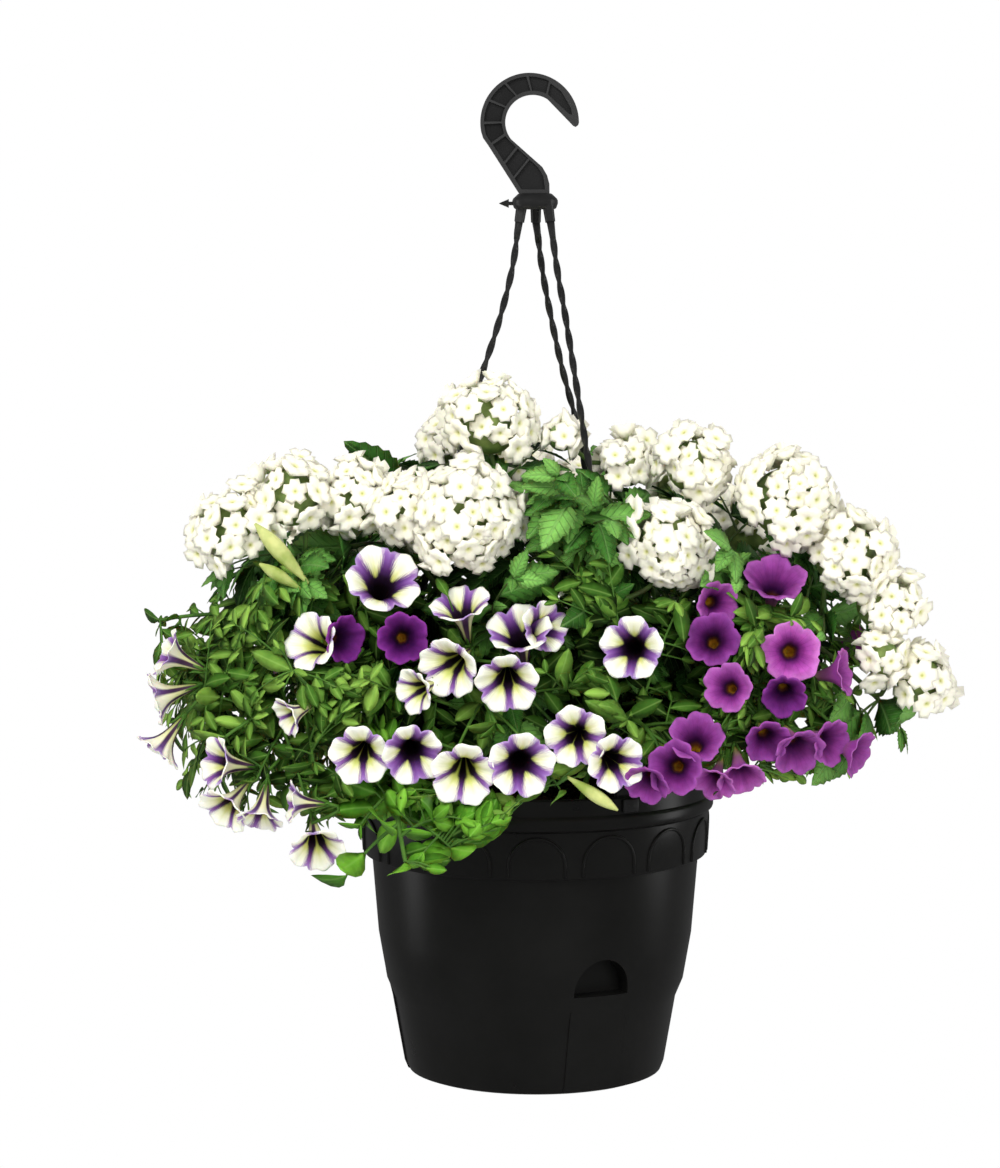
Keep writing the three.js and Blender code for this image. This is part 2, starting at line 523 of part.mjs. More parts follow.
// A trumpet flower with five round lobes. Its face is open as far as the throat.
function flower([x, y, z, width, turn, tilt], random) {
  const r = width / 2;
  const axis = facing(turn, tilt);
  const [u, v] = squareTo(axis);
  const roll = 2 * Math.PI * random();
  const points = [];
  const spot = ([reach, depth], angle) => {
    const [a, b] = onCircle(reach * r, angle + roll);
    return points.push(at(x, y, z).addScaledVector(u, a).addScaledVector(v, b).addScaledVector(axis, -depth * r)) - 1;
  };
  const lobe = (2 * Math.PI) / 5;
  const lobes = Array.from({ length: 5 }, (_, i) => {
    const wave = LOBE_WAVE * (0.5 - random());
    const [left, right] = LOBE_TIPS.map((share) => spot([1, wave], lobe * (i + share)));
    const [notch, throat, neck] = [TRUMPET.notch, TRUMPET.throat, TRUMPET.neck].map((place) => spot(place, lobe * i));
    return { notch, left, right, throat, neck };
  });
  const [pit, foot] = [TRUMPET.pit, TRUMPET.foot].map((place) => spot(place, 0));
  const faces = lobes.flatMap((here, i) => {
    const next = lobes[(i + 1) % 5];
    return [
      [here.throat, here.notch, here.left], [here.throat, here.left, next.throat],
      [next.throat, here.left, here.right], [next.throat, here.right, next.notch],
      [pit, here.throat, next.throat],
      [here.neck, here.left, here.notch], [here.neck, next.neck, here.left],
      [next.neck, here.right, here.left], [next.neck, next.notch, here.right],
      [foot, next.neck, here.neck],
    ];
  });
  return solidOf(points, faces);
}

// The point on the back of a flower where its stalk ends
function flowerBack([x, y, z, width, turn, tilt]) {
  return at(x, y, z).addScaledVector(facing(turn, tilt), 2 - (TUBE_LENGTH * width) / 2);
}

// A verbena head: one skin drawn round its middle, which rises at each floret's five petal tips and
// sinks at its eye, between its petals and between florets
const HEAD_CENTRE = at(0, 0, 330);
const HEAD_LEVELS = { tip: 1, eye: 0.9, notch: 0.84, valley: 0.62, foot: 0.6 };
const HEAD_COVER = 1.4;
function flowerHead([x, y, z, radius, florets], random) {
  const middle = at(x, y, z);
  const outwards = middle.clone().sub(HEAD_CENTRE).setLength(0.55).add(at(0, -0.12, 0.35)).normalize();
  const [u, v] = squareTo(outwards);
  const middles = Array.from({ length: florets }, (_, i) => {
    const fall = 1 - (HEAD_COVER * (i + 0.5)) / florets;
    const [a, b] = onCircle(Math.sqrt(1 - fall * fall), i * radians(137.5) + 0.3 * random());
    return outwards.clone().multiplyScalar(fall).addScaledVector(u, a).addScaledVector(v, b);
  });
  const foot = outwards.clone().negate();
  const spread = 0.95 * Math.acos(1 - HEAD_COVER / florets);
  const spots = [{ way: foot, level: HEAD_LEVELS.foot }];
  for (const way of middles) {
    const [p, q] = squareTo(way);
    const roll = 2 * Math.PI * random();
    spots.push({ way, level: HEAD_LEVELS.eye });
    for (let k = 0; k < 10; k++) {
      const isTip = k % 2 === 1;
      const [a, b] = onCircle(Math.tan(isTip ? spread : 0.6 * spread), roll + (Math.PI * k) / 5);
      const aside = way.clone().addScaledVector(p, a).addScaledVector(q, b).normalize();
      spots.push({ way: aside, level: isTip ? HEAD_LEVELS.tip : HEAD_LEVELS.notch });
    }
  }
  for (const face of new ConvexHull().setFromPoints([foot, ...middles]).faces) {
    spots.push({ way: face.normal.clone(), level: HEAD_LEVELS.valley });
  }
  return skinRound(middle, radius, spots);
}

// A closed skin round a point, through spots at their own share of the radius
function skinRound(middle, radius, spots) {
  const hull = new ConvexHull().setFromPoints(spots.map(({ way }) => way));
  const places = new Map(spots.map(({ way, level }, i) => [way, { i, point: middle.clone().addScaledVector(way, radius * level) }]));
  const faces = hull.faces.map(({ edge }) => [edge.prev, edge, edge.next].map(({ vertex }) => places.get(vertex.point).i));
  return solidOf([...places.values()].map(({ point }) => point), faces);
}

// The half outline of a leaf, as shares of its length and half width
const PLAIN_EDGE = [[0.28, 0.85], [0.66, 0.8]];
const TOOTHED_EDGE = [[0.2, 0.8], [0.32, 0.62], [0.44, 1], [0.56, 0.66], [0.68, 0.78], [0.8, 0.4]];
const LEAF_THICKNESS = 2;

// A leaf: both faces meet along its edge and are apart at its rib
function leafBlade(base, direction, upper, { length, width, toothed }, droop) {
  const across = direction.clone().cross(upper).normalize();
  const edge = toothed ? TOOTHED_EDGE : PLAIN_EDGE;
  const spot = (along, side, lift) => base.clone()
    .addScaledVector(direction, along * length)
    .addScaledVector(across, (side * width) / 2)
    .addScaledVector(upper, lift - droop * along * along * length + 0.1 * width * Math.abs(side));
  const ribs = toothed ? [0.3, 0.62] : [0.45];
  const points = [spot(0, 0, 0), spot(1, 0, 0)];
  const [foot, tip] = [0, 1];
  const sides = [-1, 1].map((side) => edge.map(([along, share]) => points.push(spot(along, side * share, 0)) - 1));
  const top = ribs.map((along) => points.push(spot(along, 0, LEAF_THICKNESS / 2)) - 1);
  const bottom = ribs.map((along) => points.push(spot(along, 0, -LEAF_THICKNESS / 2)) - 1);
  const faces = [];
  sides.forEach((outline, s) => {
    [top, bottom].forEach((rib, f) => {
      const chain = [foot, ...outline, tip];
      const fan = [];
      const share = Math.ceil(chain.length / rib.length);
      rib.forEach((middle, i) => {
        const from = i * (share - 1);
        const part = chain.slice(from, i + 1 < rib.length ? from + share : undefined);
        part.slice(1).forEach((p, k) => fan.push([middle, part[k], p]));
        if (i + 1 < rib.length) fan.push([middle, part.at(-1), rib[i + 1]]);
      });
      fan.forEach(([a, b, c]) => faces.push((s + f) % 2 ? [a, b, c] : [a, c, b]));
    });
  });
  return solidOf(points, faces);
}

// A point along a stalk, which has straight stretches between its rings
function alongStalk({ curve, steps }, t) {
  const step = Math.min(Math.floor(t * steps), steps - 1);
  const [from, to] = [curve.getPointAt(step / steps), curve.getPointAt((step + 1) / steps)];
  return { point: from.clone().lerp(to, t * steps - step), tangent: to.sub(from).normalize() };
}

// The leaves of one stem, turned round it one after another, in pairs on verbena
function leavesOn(stalk, leaf, count, from, random) {
  const blades = [];
  const pairs = leaf.toothed ? 2 : 1;
  for (let i = 0; i < count; i++) {
    const t = from + ((1 - from) * (i + 1)) / count;
    const { point, tangent } = alongStalk(stalk, t);
    const [u, v] = squareTo(tangent);
    const turn = radians(leaf.turn) * i + 0.5 * random();
    for (let k = 0; k < pairs; k++) {
      const [a, b] = onCircle(1, turn + Math.PI * k);
      const outwards = u.clone().multiplyScalar(a).addScaledVector(v, b);
      const rise = radians(leaf.rise + 16 * (random() - 0.5));
      const direction = outwards.clone().multiplyScalar(Math.cos(rise)).addScaledVector(tangent, Math.sin(rise));
      const upper = tangent.clone().multiplyScalar(Math.cos(rise)).addScaledVector(outwards, -Math.sin(rise));
      const size = 0.85 + 0.3 * random();
      const blade = { ...leaf, length: leaf.length * size, width: leaf.width * size };
      blades.push(leafBlade(point, direction, upper, blade, 0.15 + 0.2 * random()));
    }
  }
  return blades;
}

const LEAVES = { plain: { main: 2, side: 2 }, toothed: { main: 1, side: 1 } };

function mainStem({ root: [x, y], bend, tip, leaf }) {
  const curve = new THREE.CubicBezierCurve3(
    at(x, y, SOIL_TOP - ROOT_DEPTH),
    at(x + 0.1 * (bend[0] - x), y + 0.1 * (bend[1] - y), SOIL_TOP + 0.6 * (bend[2] - SOIL_TOP)),
    at(...bend),
    at(...tip),
  );
  return { curve, sides: 4, steps: 6, radiusAt: (t) => leaf.stem + 1.2 * (1 - t) };
}

function sideStems(spec) {
  const main = mainStem(spec);
  return spec.sides.map(([place, tip]) => {
    const from = alongStalk(main, place).point;
    const to = at(...tip);
    const middle = from.clone().add(to).multiplyScalar(0.5).add(at(0, 0, 0.12 * from.distanceTo(to)));
    return { curve: new THREE.QuadraticBezierCurve3(from, middle, to), sides: 3, steps: 2, radiusAt: () => spec.leaf.stem };
  });
}

function stalkSolid({ curve, radiusAt, sides, steps }) {
  return stem(curve, radiusAt, sides, steps);
}

// The point of a shoot's stems that is nearest to a place
function nearestOn(stalks, place) {
  let best = { reach: Infinity };
  for (const stalk of stalks) {
    for (let t = 0.3; t < 1; t += 0.05) {
      const { point } = alongStalk(stalk, t);
      const reach = point.distanceTo(place);
      if (reach < best.reach) best = { point, reach };
    }
  }
  return best;
}

function makeShoot(spec, ends, buds) {
  const random = seeded(spec.seed);
  const count = LEAVES[spec.leaf.toothed ? "toothed" : "plain"];
  const main = mainStem(spec);
  const sides = sideStems(spec);
  const stalks = [main, ...sides];
  const pieces = stalks.map(stalkSolid);
  pieces.push(...leavesOn(main, spec.leaf, count.main, 0.45, random));
  for (const side of sides) pieces.push(...leavesOn(side, spec.leaf, count.side, 0.2, random));
  const footstalk = (end, radius) => stem(line(nearestOn(stalks, end).point, end), () => radius, 3, 1);
  for (const { end, radius } of ends) pieces.push(footstalk(end, radius));
  for (const [foot, tip, width] of buds) {
    const bud = stem(line(at(...foot), at(...tip)), (t) => 1.2 + (width / 2) * Math.sin(Math.PI * (0.1 + 0.8 * t)), 5, 3);
    pieces.push(footstalk(at(...foot), spec.leaf.stem), bud);
  }
  return wasm.Manifold.union(pieces);
}

// Which shoot carries a flower: the one whose stems come nearest to it
function nearestShoot(place, names) {
  const reaches = names.map((name) => nearestOn([mainStem(SHOOTS[name]), ...sideStems(SHOOTS[name])], place).reach);
  return names[reaches.indexOf(Math.min(...reaches))];
}

function meshOf(name, solid, colour) {
  const flat = geometryOf(solid).toNonIndexed();
  flat.computeVertexNormals();
  const made = new THREE.Mesh(flat, new THREE.MeshStandardMaterial({ ...COLOURS[colour], metalness: 0 }));
  made.name = name;
  return made;
}

const planter = new THREE.Group();
const hanger = new THREE.Group();
const plants = new THREE.Group();

const pot = mainBody(makePot());
planter.add(meshOf("pot", pot, "pot"));
hanger.add(meshOf("hanger_hook", mainBody(makeHook()), "hanger"));
const fixed = [grown(pot, GAP)];
for (const [name, route] of Object.entries(STRAND_ROUTES)) {
  const strand = mainBody(makeStrand(route));
  hanger.add(meshOf(name, strand, "hanger"));
  fixed.push(grown(strand, GAP));
}

// Flowers and heads keep their form, and each one makes way for those before it
const ends = Object.fromEntries(Object.keys(SHOOTS).map((name) => [name, []]));
const shootsOf = (start) => Object.keys(SHOOTS).filter((name) => name.startsWith(start));
const blossoms = [];
const SPRAY_DEPTH = 9;

// Sprays of flowers or heads. Where a spray has several, short stalks join them.
function addBlossoms(sprays, { build, backOf, carriers, stalk, colour, seed }) {
  const random = seeded(seed);
  for (const [name, members] of Object.entries(sprays)) {
    const backs = members.map(backOf);
    const joint = backs.reduce((sum, back) => sum.add(back), at(0, 0, 0)).divideScalar(backs.length);
    if (backs.length > 1) joint.add(HEAD_CENTRE.clone().sub(joint).setLength(SPRAY_DEPTH));
    const stalks = backs.length > 1 ? backs.map((back) => stem(line(joint, back), () => stalk, 3, 1)) : [];
    const whole = wasm.Manifold.union([...members.map((member) => build(member, random)), ...stalks]);
    const made = withoutNeighbours(whole, [...fixed.slice(1), ...blossoms]);
    blossoms.push(grown(made, GAP));
    plants.add(meshOf(name, made, colour));
    ends[nearestShoot(joint, carriers)].push({ end: joint, radius: stalk });
  }
}

addBlossoms(STRIPED_FLOWERS, {
  build: flower, backOf: flowerBack, carriers: shootsOf("petunia"), stalk: 1.3, colour: "striped", seed: 5,
});
addBlossoms(VIOLET_FLOWERS, {
  build: flower, backOf: flowerBack, carriers: [...shootsOf("violet"), ...shootsOf("petunia")], stalk: 1.3,
  colour: "violet", seed: 7,
});
addBlossoms(VERBENA_HEADS, {
  build: flowerHead, backOf: ([x, y, z]) => at(x, y, z), carriers: shootsOf("verbena"), stalk: 1.8,
  colour: "verbena", seed: 9,
});

const greens = [];
for (const [name, spec] of Object.entries(SHOOTS)) {
  const whole = makeShoot(spec, ends[name], BUDS[name] ?? []);
  const made = withoutNeighbours(whole, [...fixed, ...blossoms, ...greens]);
  greens.push(grown(made, GAP));
  plants.add(meshOf(name, made, spec.leaf.toothed ? "verbenaLeaf" : "petuniaLeaf"));
}
const roots = Object.values(SHOOTS).map((spec) => grown(stalkSolid(mainStem(spec)), 2 * GAP));
planter.add(meshOf("soil", withoutNeighbours(makeSoil(), roots), "soil"));

const basket = new THREE.Group();
basket.add(planter, hanger, plants);

export default basket;
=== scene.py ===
"""Petunia hanging basket: a black plastic hanging pot planted with bicolour and violet petunias and
white verbena, under a moulded hook with three twisted strands.

Places and sizes are in millimetres, as in the solids, and every mesh is made in metres."""

import json
import math
from collections import namedtuple
from contextlib import contextmanager

import bmesh
import bpy
import numpy as np
from mathutils import Matrix, Vector, noise

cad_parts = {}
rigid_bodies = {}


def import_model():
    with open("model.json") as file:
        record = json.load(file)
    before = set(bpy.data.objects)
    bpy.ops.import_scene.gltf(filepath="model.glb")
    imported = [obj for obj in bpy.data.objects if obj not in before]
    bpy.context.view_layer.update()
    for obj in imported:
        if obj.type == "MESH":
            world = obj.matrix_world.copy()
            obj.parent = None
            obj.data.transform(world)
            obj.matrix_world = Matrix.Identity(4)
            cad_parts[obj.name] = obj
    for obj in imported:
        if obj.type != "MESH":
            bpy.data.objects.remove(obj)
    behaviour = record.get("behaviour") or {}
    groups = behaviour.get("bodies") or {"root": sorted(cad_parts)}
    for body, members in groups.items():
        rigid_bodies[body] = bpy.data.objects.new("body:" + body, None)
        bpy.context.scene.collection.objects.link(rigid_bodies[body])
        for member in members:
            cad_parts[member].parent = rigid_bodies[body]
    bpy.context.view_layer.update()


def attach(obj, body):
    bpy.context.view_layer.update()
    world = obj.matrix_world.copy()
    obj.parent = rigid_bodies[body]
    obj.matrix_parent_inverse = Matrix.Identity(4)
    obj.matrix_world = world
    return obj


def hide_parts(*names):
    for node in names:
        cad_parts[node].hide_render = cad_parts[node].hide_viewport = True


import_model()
MM = 0.001

# The camera stands in front of the basket, a little above its middle, and looks slightly down
CAMERA = {"place": (-25, -2400, 570), "down": 5.3, "lens": 104.8, "sensor": 36}

# The pot's outline, from the bottom, and the same working sizes as the solid
RIM_RADIUS = 125
RIM_HEIGHT = 212
FLOOR_TOP = 5
BAND = {"bottom": 157, "top": 189, "low_radius": 121.4, "high_radius": 123.4}
POT_OUTSIDE = [
    (0, 0), (86.5, 0), (90.3, 1.4), (92.5, 7), (100.6, 54), (106, 67), (111.7, 100), (116.2, 155),
    (117.5, 156.4), (BAND["low_radius"], 157), (BAND["low_radius"] + 0.4, 157.6),
    (BAND["high_radius"], 188.6), (BAND["high_radius"] + 1, 189.4), (126.2, 190.6), (126.8, 192),
    (126.8, 197.4), (126.2, 199), (RIM_RADIUS, 200.2), (RIM_RADIUS, 210.8), (RIM_RADIUS - 1.2, RIM_HEIGHT),
]
POT_INSIDE = [
    (122.8, RIM_HEIGHT), (122.1, 210.5), (121, 196), (113.8, 155), (103.6, 67), (98.2, 54), (89, 6.5),
    (86, FLOOR_TOP), (0, FLOOR_TOP),
]
# Outlines that run inside the wall: what is joined to it on the outer side reaches no further in
WITHIN_WALL_AT_MOUTHS = [(0, 40), (97, 40), (99.6, 54), (105, 67), (110.7, 100), (112.3, 120), (0, 120)]
WITHIN_WALL_AT_PANELS = [(0, -1), (85, -1), (90.5, 7), (99, 54), (104.4, 67), (105, 80), (0, 80)]
# Radii clear of the wall: beyond the pot, inside its foot and inside its rim
CLEAR_OF_POT = RIM_RADIUS + 4
INSIDE_FOOT = 60
INSIDE_RIM = 110
POT_SIDES = 128
ARCHES = 15
ARCH = {"width": 40, "height": 28, "bottom": 158, "rib": 1.5}
MOUTHS = 3
MOUTH = {"width": 41, "height": 26, "bottom": 71.5, "back": 92, "azimuth": 25, "wall": 2.2}
PANEL = {
    "width": 42, "outside": [(88, 0.4), (91.4, 1.8), (93.6, 7), (102, 54), (106.5, MOUTH["bottom"] + 1)]}
STRAND_HOLE = {"width": 8, "height": 5, "at": 206}
SOIL_TOP = 198
SOIL_DOME = 6
SOIL_EDGE = (118, 192)
SOIL_GAP = 0.8
CRUMB = {"radius": 1.9, "spacing": 2.6, "to_a_square_metre": 60000.0}
ROOT_DEPTH = 14

# The hook, flat in the across and height plane
HOOK = {
    "thickness": 8, "web": 3, "border": 2.6,
    "outer": (-4.3, 671.6, 34.5), "outer_arc": (0, 190),
    "inner": (-2.1, 671.9, 19.2), "inner_arc": (218, 57),
    "shank_left": [(-36.9, 661.2), (-33.4, 656.2), (-11.4, 622), (-11.4, 618)],
    "shank_right": [(9.8, 618), (9.6, 629), (8, 635), (4.6, 640.8)],
    "tip": [(26.3, 669.6), (28.1, 668.8), (29.8, 670.2)],
}
BEND_RECESSES = {"count": 4, "first": 65, "pitch": 29.2, "length": 26.2}
HOOK_PANELS = [
    [(8.4, 691.2), (10.2, 698.8), (17.8, 693.2), (24.4, 682), (25.4, 677), (23, 677.8)],
    [(-36.2, 670.5), (-35, 663.4), (-31.2, 657.6), (-22.2, 664), (-23.9, 671.1)],
    [(-30, 656.3), (-21.4, 662.3), (-17.6, 658.2), (-13.8, 654.8), (-22.2, 644.4)],
    [(-21.3, 643), (-12.6, 653.6), (-5.2, 646.8), (-15.6, 634.1)],
    [(-14.8, 632.8), (-4.2, 645.9), (1.8, 640.2), (5.2, 634.6), (6.6, 625.2), (-9.9, 625.2)],
]
COLLAR = {"x": -0.4, "z": 617, "width": 32, "height": 11, "depth": 28}
# From the axis at the bottom to the axis at the top, as shares of half the collar's width and height
COLLAR_EDGE = [
    (0, -1), (0.86, -1), (0.93, -0.85), (1, -0.3), (1, 0.1), (0.96, 0.35), (0.74, 0.95), (0.68, 1), (0, 1)]
ARROW = {
    "z": 615.5, "neck": (-13, -19.6), "neck_radius": 1.3, "head": (-18.8, -25.5), "head_radius": 3.1,
    "tip_radius": 0.3}
STRAND = {"thickness": 4.6, "lobe": 2.0, "apart": 0.5, "pitch": 34, "step": 1.6}
SLEEVE_RADII = (2.85, 2.1)
# The collar's sockets: their walls, the play in them, how far they end below the strand's top and how
# deep they are. The strands' feet: width and height of the pin through the rim, of the stop inside it
# and of the button outside it
SOCKET = {"inner_wall": 1.7, "outer_wall": 1.2, "play": 0.6, "end": 2.5, "depth": 9}
STRAND_FOOT = {"pin": (7.2, 4.2), "stop": (12, 14), "button": (12, 9)}
STRAND_ROUTES = {
    "left": [
        (-11.5, 0, 605), (-16.4, 0, 570), (-26.6, 0, 530), (-41.5, -1, 484), (-78, -1, 350), (-112, 0, 226),
        (-117, 0, 212)],
    "front": [
        (10.2, -9, 605), (14.8, -17, 570), (21, -27, 534), (34.1, -49, 450), (39, -58, 420), (50, -80, 320),
        (57, -97, 226), (59, -101, 212)],
    "back": [
        (0.3, 11, 605), (5.6, 20, 565), (18, 35, 505), (33, 50, 446), (48, 80, 340), (57, 97, 226),
        (59, 101, 212)],
}

# Sprays of flowers: middle of the face (across, depth, height), width, and where it faces, turned
# to the right and tilted up, in degrees
STRIPED_FLOWERS = {
    "striped_flower_top_left": [(-104, -108, 361, 52, 10, 35)],
    "striped_flower_top_middle": [(-52, -123, 346, 42, -20, 60)],
    "striped_flowers_centre_top": [(-12, -134, 330, 46, -10, 50), (6, -136, 331, 36, 30, 10)],
    "striped_flower_left": [(-153, -122, 320, 42, -35, 20)],
    "striped_flowers_centre": [
        (-60, -147, 304, 44, -25, -15), (-20, -154, 295, 43, 0, -15), (-83, -150, 289, 32, -40, -10)],
    "striped_flowers_rim_left": [
        (-118, -159, 247, 42, -5, -10), (-83, -166, 249, 42, 5, -10), (-49, -171, 236, 45, 0, -15)],
    "striped_flowers_rim_middle": [
        (-11, -173, 243, 45, 5, -5), (25, -167, 261, 42, -5, 0), (52, -171, 244, 40, 15, -5)],
    "striped_flower_right": [(63, -139, 317, 44, -10, 5)],
    "striped_flowers_far_left": [
        (-254, -92, 309, 36, -78, 25), (-262, -88, 277, 38, -80, -15), (-260, -91, 240, 36, -72, -52)],
    "striped_flowers_low_left": [
        (-218, -125, 238, 38, -60, 10), (-212, -130, 205, 38, -40, -35), (-187, -142, 200, 34, -20, -60)],
    "striped_flower_low_front": [(-147, -156, 183, 39, 10, -35)],
    "striped_flower_low_side": [(-165, -152, 215, 29, -78, 5)],
    "striped_flower_left_inner": [(-169, -137, 270, 30, -60, -20)],
    "striped_flowers_back_left": [(-185, 120, 282, 42, -125, 5), (-166, 138, 258, 42, -130, -15)],
    "striped_flower_back_side": [(-232, 40, 300, 42, -100, 10)],
}
# How broad the bands are on the flowers that face the front, from 0 to 1
STRIPED_BOLDNESS = {
    (-104, -108, 361): 0.85, (-12, -134, 330): 1.0, (6, -136, 331): 0.9, (-153, -122, 320): 0.0,
    (-60, -147, 304): 0.2, (-20, -154, 295): 0.45, (-118, -159, 247): 0.4, (-83, -166, 249): 0.95,
    (-49, -171, 236): 0.2, (-11, -173, 243): 0.9, (25, -167, 261): 0.5, (52, -171, 244): 0.6,
    (63, -139, 317): 0.75}
VIOLET_FLOWERS = {
    "violet_flower_left": [(-90, -132, 323, 36, 5, 5)],
    "violet_flower_left_hidden": [(-129, -122, 321, 34, 40, 0)],
    "violet_flowers_top": [(122, -118, 345, 32, 20, 0), (118, -128, 322, 38, -5, 15)],
    "violet_flower_top_right": [(162, -99, 361, 44, 5, 50)],
    "violet_flowers_right": [(171, -128, 313, 42, 0, 5), (166, -134, 284, 32, 0, -20)],
    "violet_flower_side_right": [(209, -113, 298, 34, 70, 10)],
    "violet_flower_middle": [(127, -142, 291, 34, -15, 10)],
    "violet_flowers_rim": [
        (106, -157, 260, 38, 0, 35), (91, -165, 240, 38, -10, 5), (72, -169, 229, 32, -20, -30)],
    "violet_flowers_low_right": [
        (154, -147, 255, 32, 10, -20), (176, -142, 247, 37, 20, -30), (199, -131, 252, 34, 40, -10),
        (219, -122, 243, 34, 60, -20)],
    "violet_flowers_low": [(136, -157, 231, 34, 10, -45), (117, -160, 228, 30, -20, -40)],
    "violet_flowers_back_right": [(190, 110, 288, 42, 125, 5), (172, 130, 264, 42, 130, -15)],
    "violet_flower_back_side": [(235, 35, 300, 40, 95, 10)],
}
# How light a few of the violet flowers are, from 0 to 1
VIOLET_BOLDNESS = {
    (171, -128, 313): 1.0, (-90, -132, 323): 0.0, (-129, -122, 321): 0.0, (162, -99, 361): 0.4}
# Verbena flower heads: middle and radius
VERBENA_HEADS = {
    "verbena_heads_front_left": [(-47, -92, 399, 41), (-87, -74, 405, 28)],
    "verbena_head_top": [(-33, -40, 463, 34)],
    "verbena_heads_front_middle": [(18, -36, 453, 15), (63, -25, 434, 25)],
    "verbena_head_front_right": [(89, -99, 381, 34)],
    "verbena_head_right": [(108, -56, 434, 28)],
    "verbena_heads_left": [(-207, -72, 391, 31), (-169, -62, 413, 31), (-124, -56, 411, 29)],
    "verbena_heads_right": [(171, -69, 410, 37), (213, -72, 373, 34), (238, -72, 340, 28)],
    "verbena_heads_far_right": [(236, -84, 305, 20), (264, -72, 288, 25)],
    "verbena_heads_back_left": [(-150, 110, 382, 34), (-112, 148, 352, 34)],
    "verbena_heads_back_middle": [(-20, 120, 420, 36), (34, 150, 392, 36)],
    "verbena_heads_back_right": [(112, 112, 402, 34), (160, 80, 378, 32)],
    "verbena_head_back_low": [(50, 196, 305, 33)],
    "verbena_head_back_crown": [(-55, 30, 445, 28)],
}
HEAD_CENTRE = (0, 0, 330)

# Leafy shoots: the leaf, where each is rooted, the way its main stem bends, its tip, its seed, and its
# side shoots as (place along the main stem, tip). A leaf's turn from the last and its rise are in degrees
Shoot = namedtuple("Shoot", "leaf root bend tip seed sides")
Leaf = namedtuple("Leaf", "length width stem turn rise toothed finish")
PETUNIA_LEAF = Leaf(29, 12, 1.3, 137.5, 34, toothed=False, finish="petunia")
SPOON_LEAF = Leaf(38, 19, 1.5, 137.5, 38, toothed=False, finish="spoon")
VERBENA_LEAF = Leaf(50, 27, 1.7, 90, 40, toothed=True, finish="verbena")
SHOOTS = {
    "petunia_shoot_front": Shoot(
        PETUNIA_LEAF, (-35, -60), (-45, -118, 300), (-28, -150, 268), 11,
        [(0.55, (-95, -128, 285)), (0.6, (20, -140, 290)), (0.75, (-65, -158, 222)), (0.8, (15, -160, 225)),
         (0.5, (-60, -118, 350))]),
    "petunia_shoot_low_front": Shoot(
        SPOON_LEAF, (-72, -52), (-110, -130, 272), (-88, -158, 176), 23,
        [(0.8, (-58, -160, 186)), (0.85, (-128, -150, 165)), (0.9, (-70, -162, 205)),
         (0.7, (-118, -152, 200))]),
    "petunia_shoot_left": Shoot(
        PETUNIA_LEAF, (-88, -30), (-150, -80, 300), (-212, -100, 252), 31,
        [(0.6, (-165, -122, 300)), (0.7, (-190, -122, 225)), (0.7, (-150, -138, 240)),
         (0.85, (-235, -85, 280)), (0.8, (-150, -142, 195))]),
    "petunia_shoot_far_left": Shoot(
        PETUNIA_LEAF, (-92, 4), (-160, -30, 345), (-262, -42, 326), 43,
        [(0.5, (-150, -85, 355)), (0.6, (-185, -75, 365)), (0.75, (-225, -50, 300)), (0.75, (-225, 20, 305)),
         (0.5, (-115, -95, 345))]),
    "petunia_shoot_back_left": Shoot(
        PETUNIA_LEAF, (-80, 40), (-130, 85, 300), (-170, 125, 240), 57,
        [(0.5, (-205, 60, 280)), (0.65, (-120, 160, 265)), (0.8, (-200, 105, 225)), (0.6, (-180, 90, 320))]),
    "violet_shoot_front": Shoot(
        PETUNIA_LEAF, (30, -62), (75, -118, 300), (88, -152, 225), 61,
        [(0.5, (55, -125, 330)), (0.6, (60, -146, 270)), (0.7, (122, -142, 262)), (0.75, (118, -150, 222)),
         (0.65, (95, -110, 340))]),
    "violet_shoot_right": Shoot(
        PETUNIA_LEAF, (82, -40), (150, -80, 315), (200, -108, 262), 73,
        [(0.5, (150, -98, 335)), (0.65, (165, -120, 262)), (0.8, (222, -92, 300)), (0.7, (150, -135, 235))]),
    "violet_shoot_back_right": Shoot(
        PETUNIA_LEAF, (90, 30), (150, 60, 300), (185, 85, 245), 83,
        [(0.5, (215, 20, 285)), (0.65, (145, 120, 262)), (0.8, (215, 60, 235)), (0.6, (180, 75, 310))]),
    "verbena_shoot_front": Shoot(
        VERBENA_LEAF, (2, -20), (10, -60, 370), (28, -95, 392), 97,
        [(0.55, (40, -112, 345)), (0.6, (-30, -95, 340)), (0.7, (-20, -62, 425)), (0.7, (60, -70, 400))]),
    "verbena_shoot_left": Shoot(
        VERBENA_LEAF, (-42, 12), (-70, -15, 390), (-128, -45, 378), 103,
        [(0.6, (-85, -62, 372)), (0.75, (-165, -50, 372)), (0.75, (-95, 10, 415))]),
    "verbena_shoot_right": Shoot(
        VERBENA_LEAF, (46, 8), (110, -20, 400), (238, -58, 272), 113,
        [(0.4, (130, -72, 365)), (0.5, (150, -30, 395)), (0.65, (200, -45, 330)), (0.8, (255, -30, 300)),
         (0.55, (180, 10, 350))]),
    "verbena_shoot_back_left": Shoot(
        VERBENA_LEAF, (-30, 55), (-55, 110, 370), (-75, 182, 255), 127,
        [(0.45, (-125, 95, 345)), (0.6, (-20, 150, 340)), (0.75, (-120, 160, 300)), (0.8, (-20, 185, 260)),
         (0.4, (-95, 60, 390))]),
    "verbena_shoot_back_right": Shoot(
        VERBENA_LEAF, (35, 50), (75, 105, 370), (120, 165, 250), 139,
        [(0.45, (150, 70, 340)), (0.6, (60, 160, 330)), (0.75, (155, 125, 290)), (0.8, (60, 188, 250)),
         (0.4, (55, 55, 410))]),
}
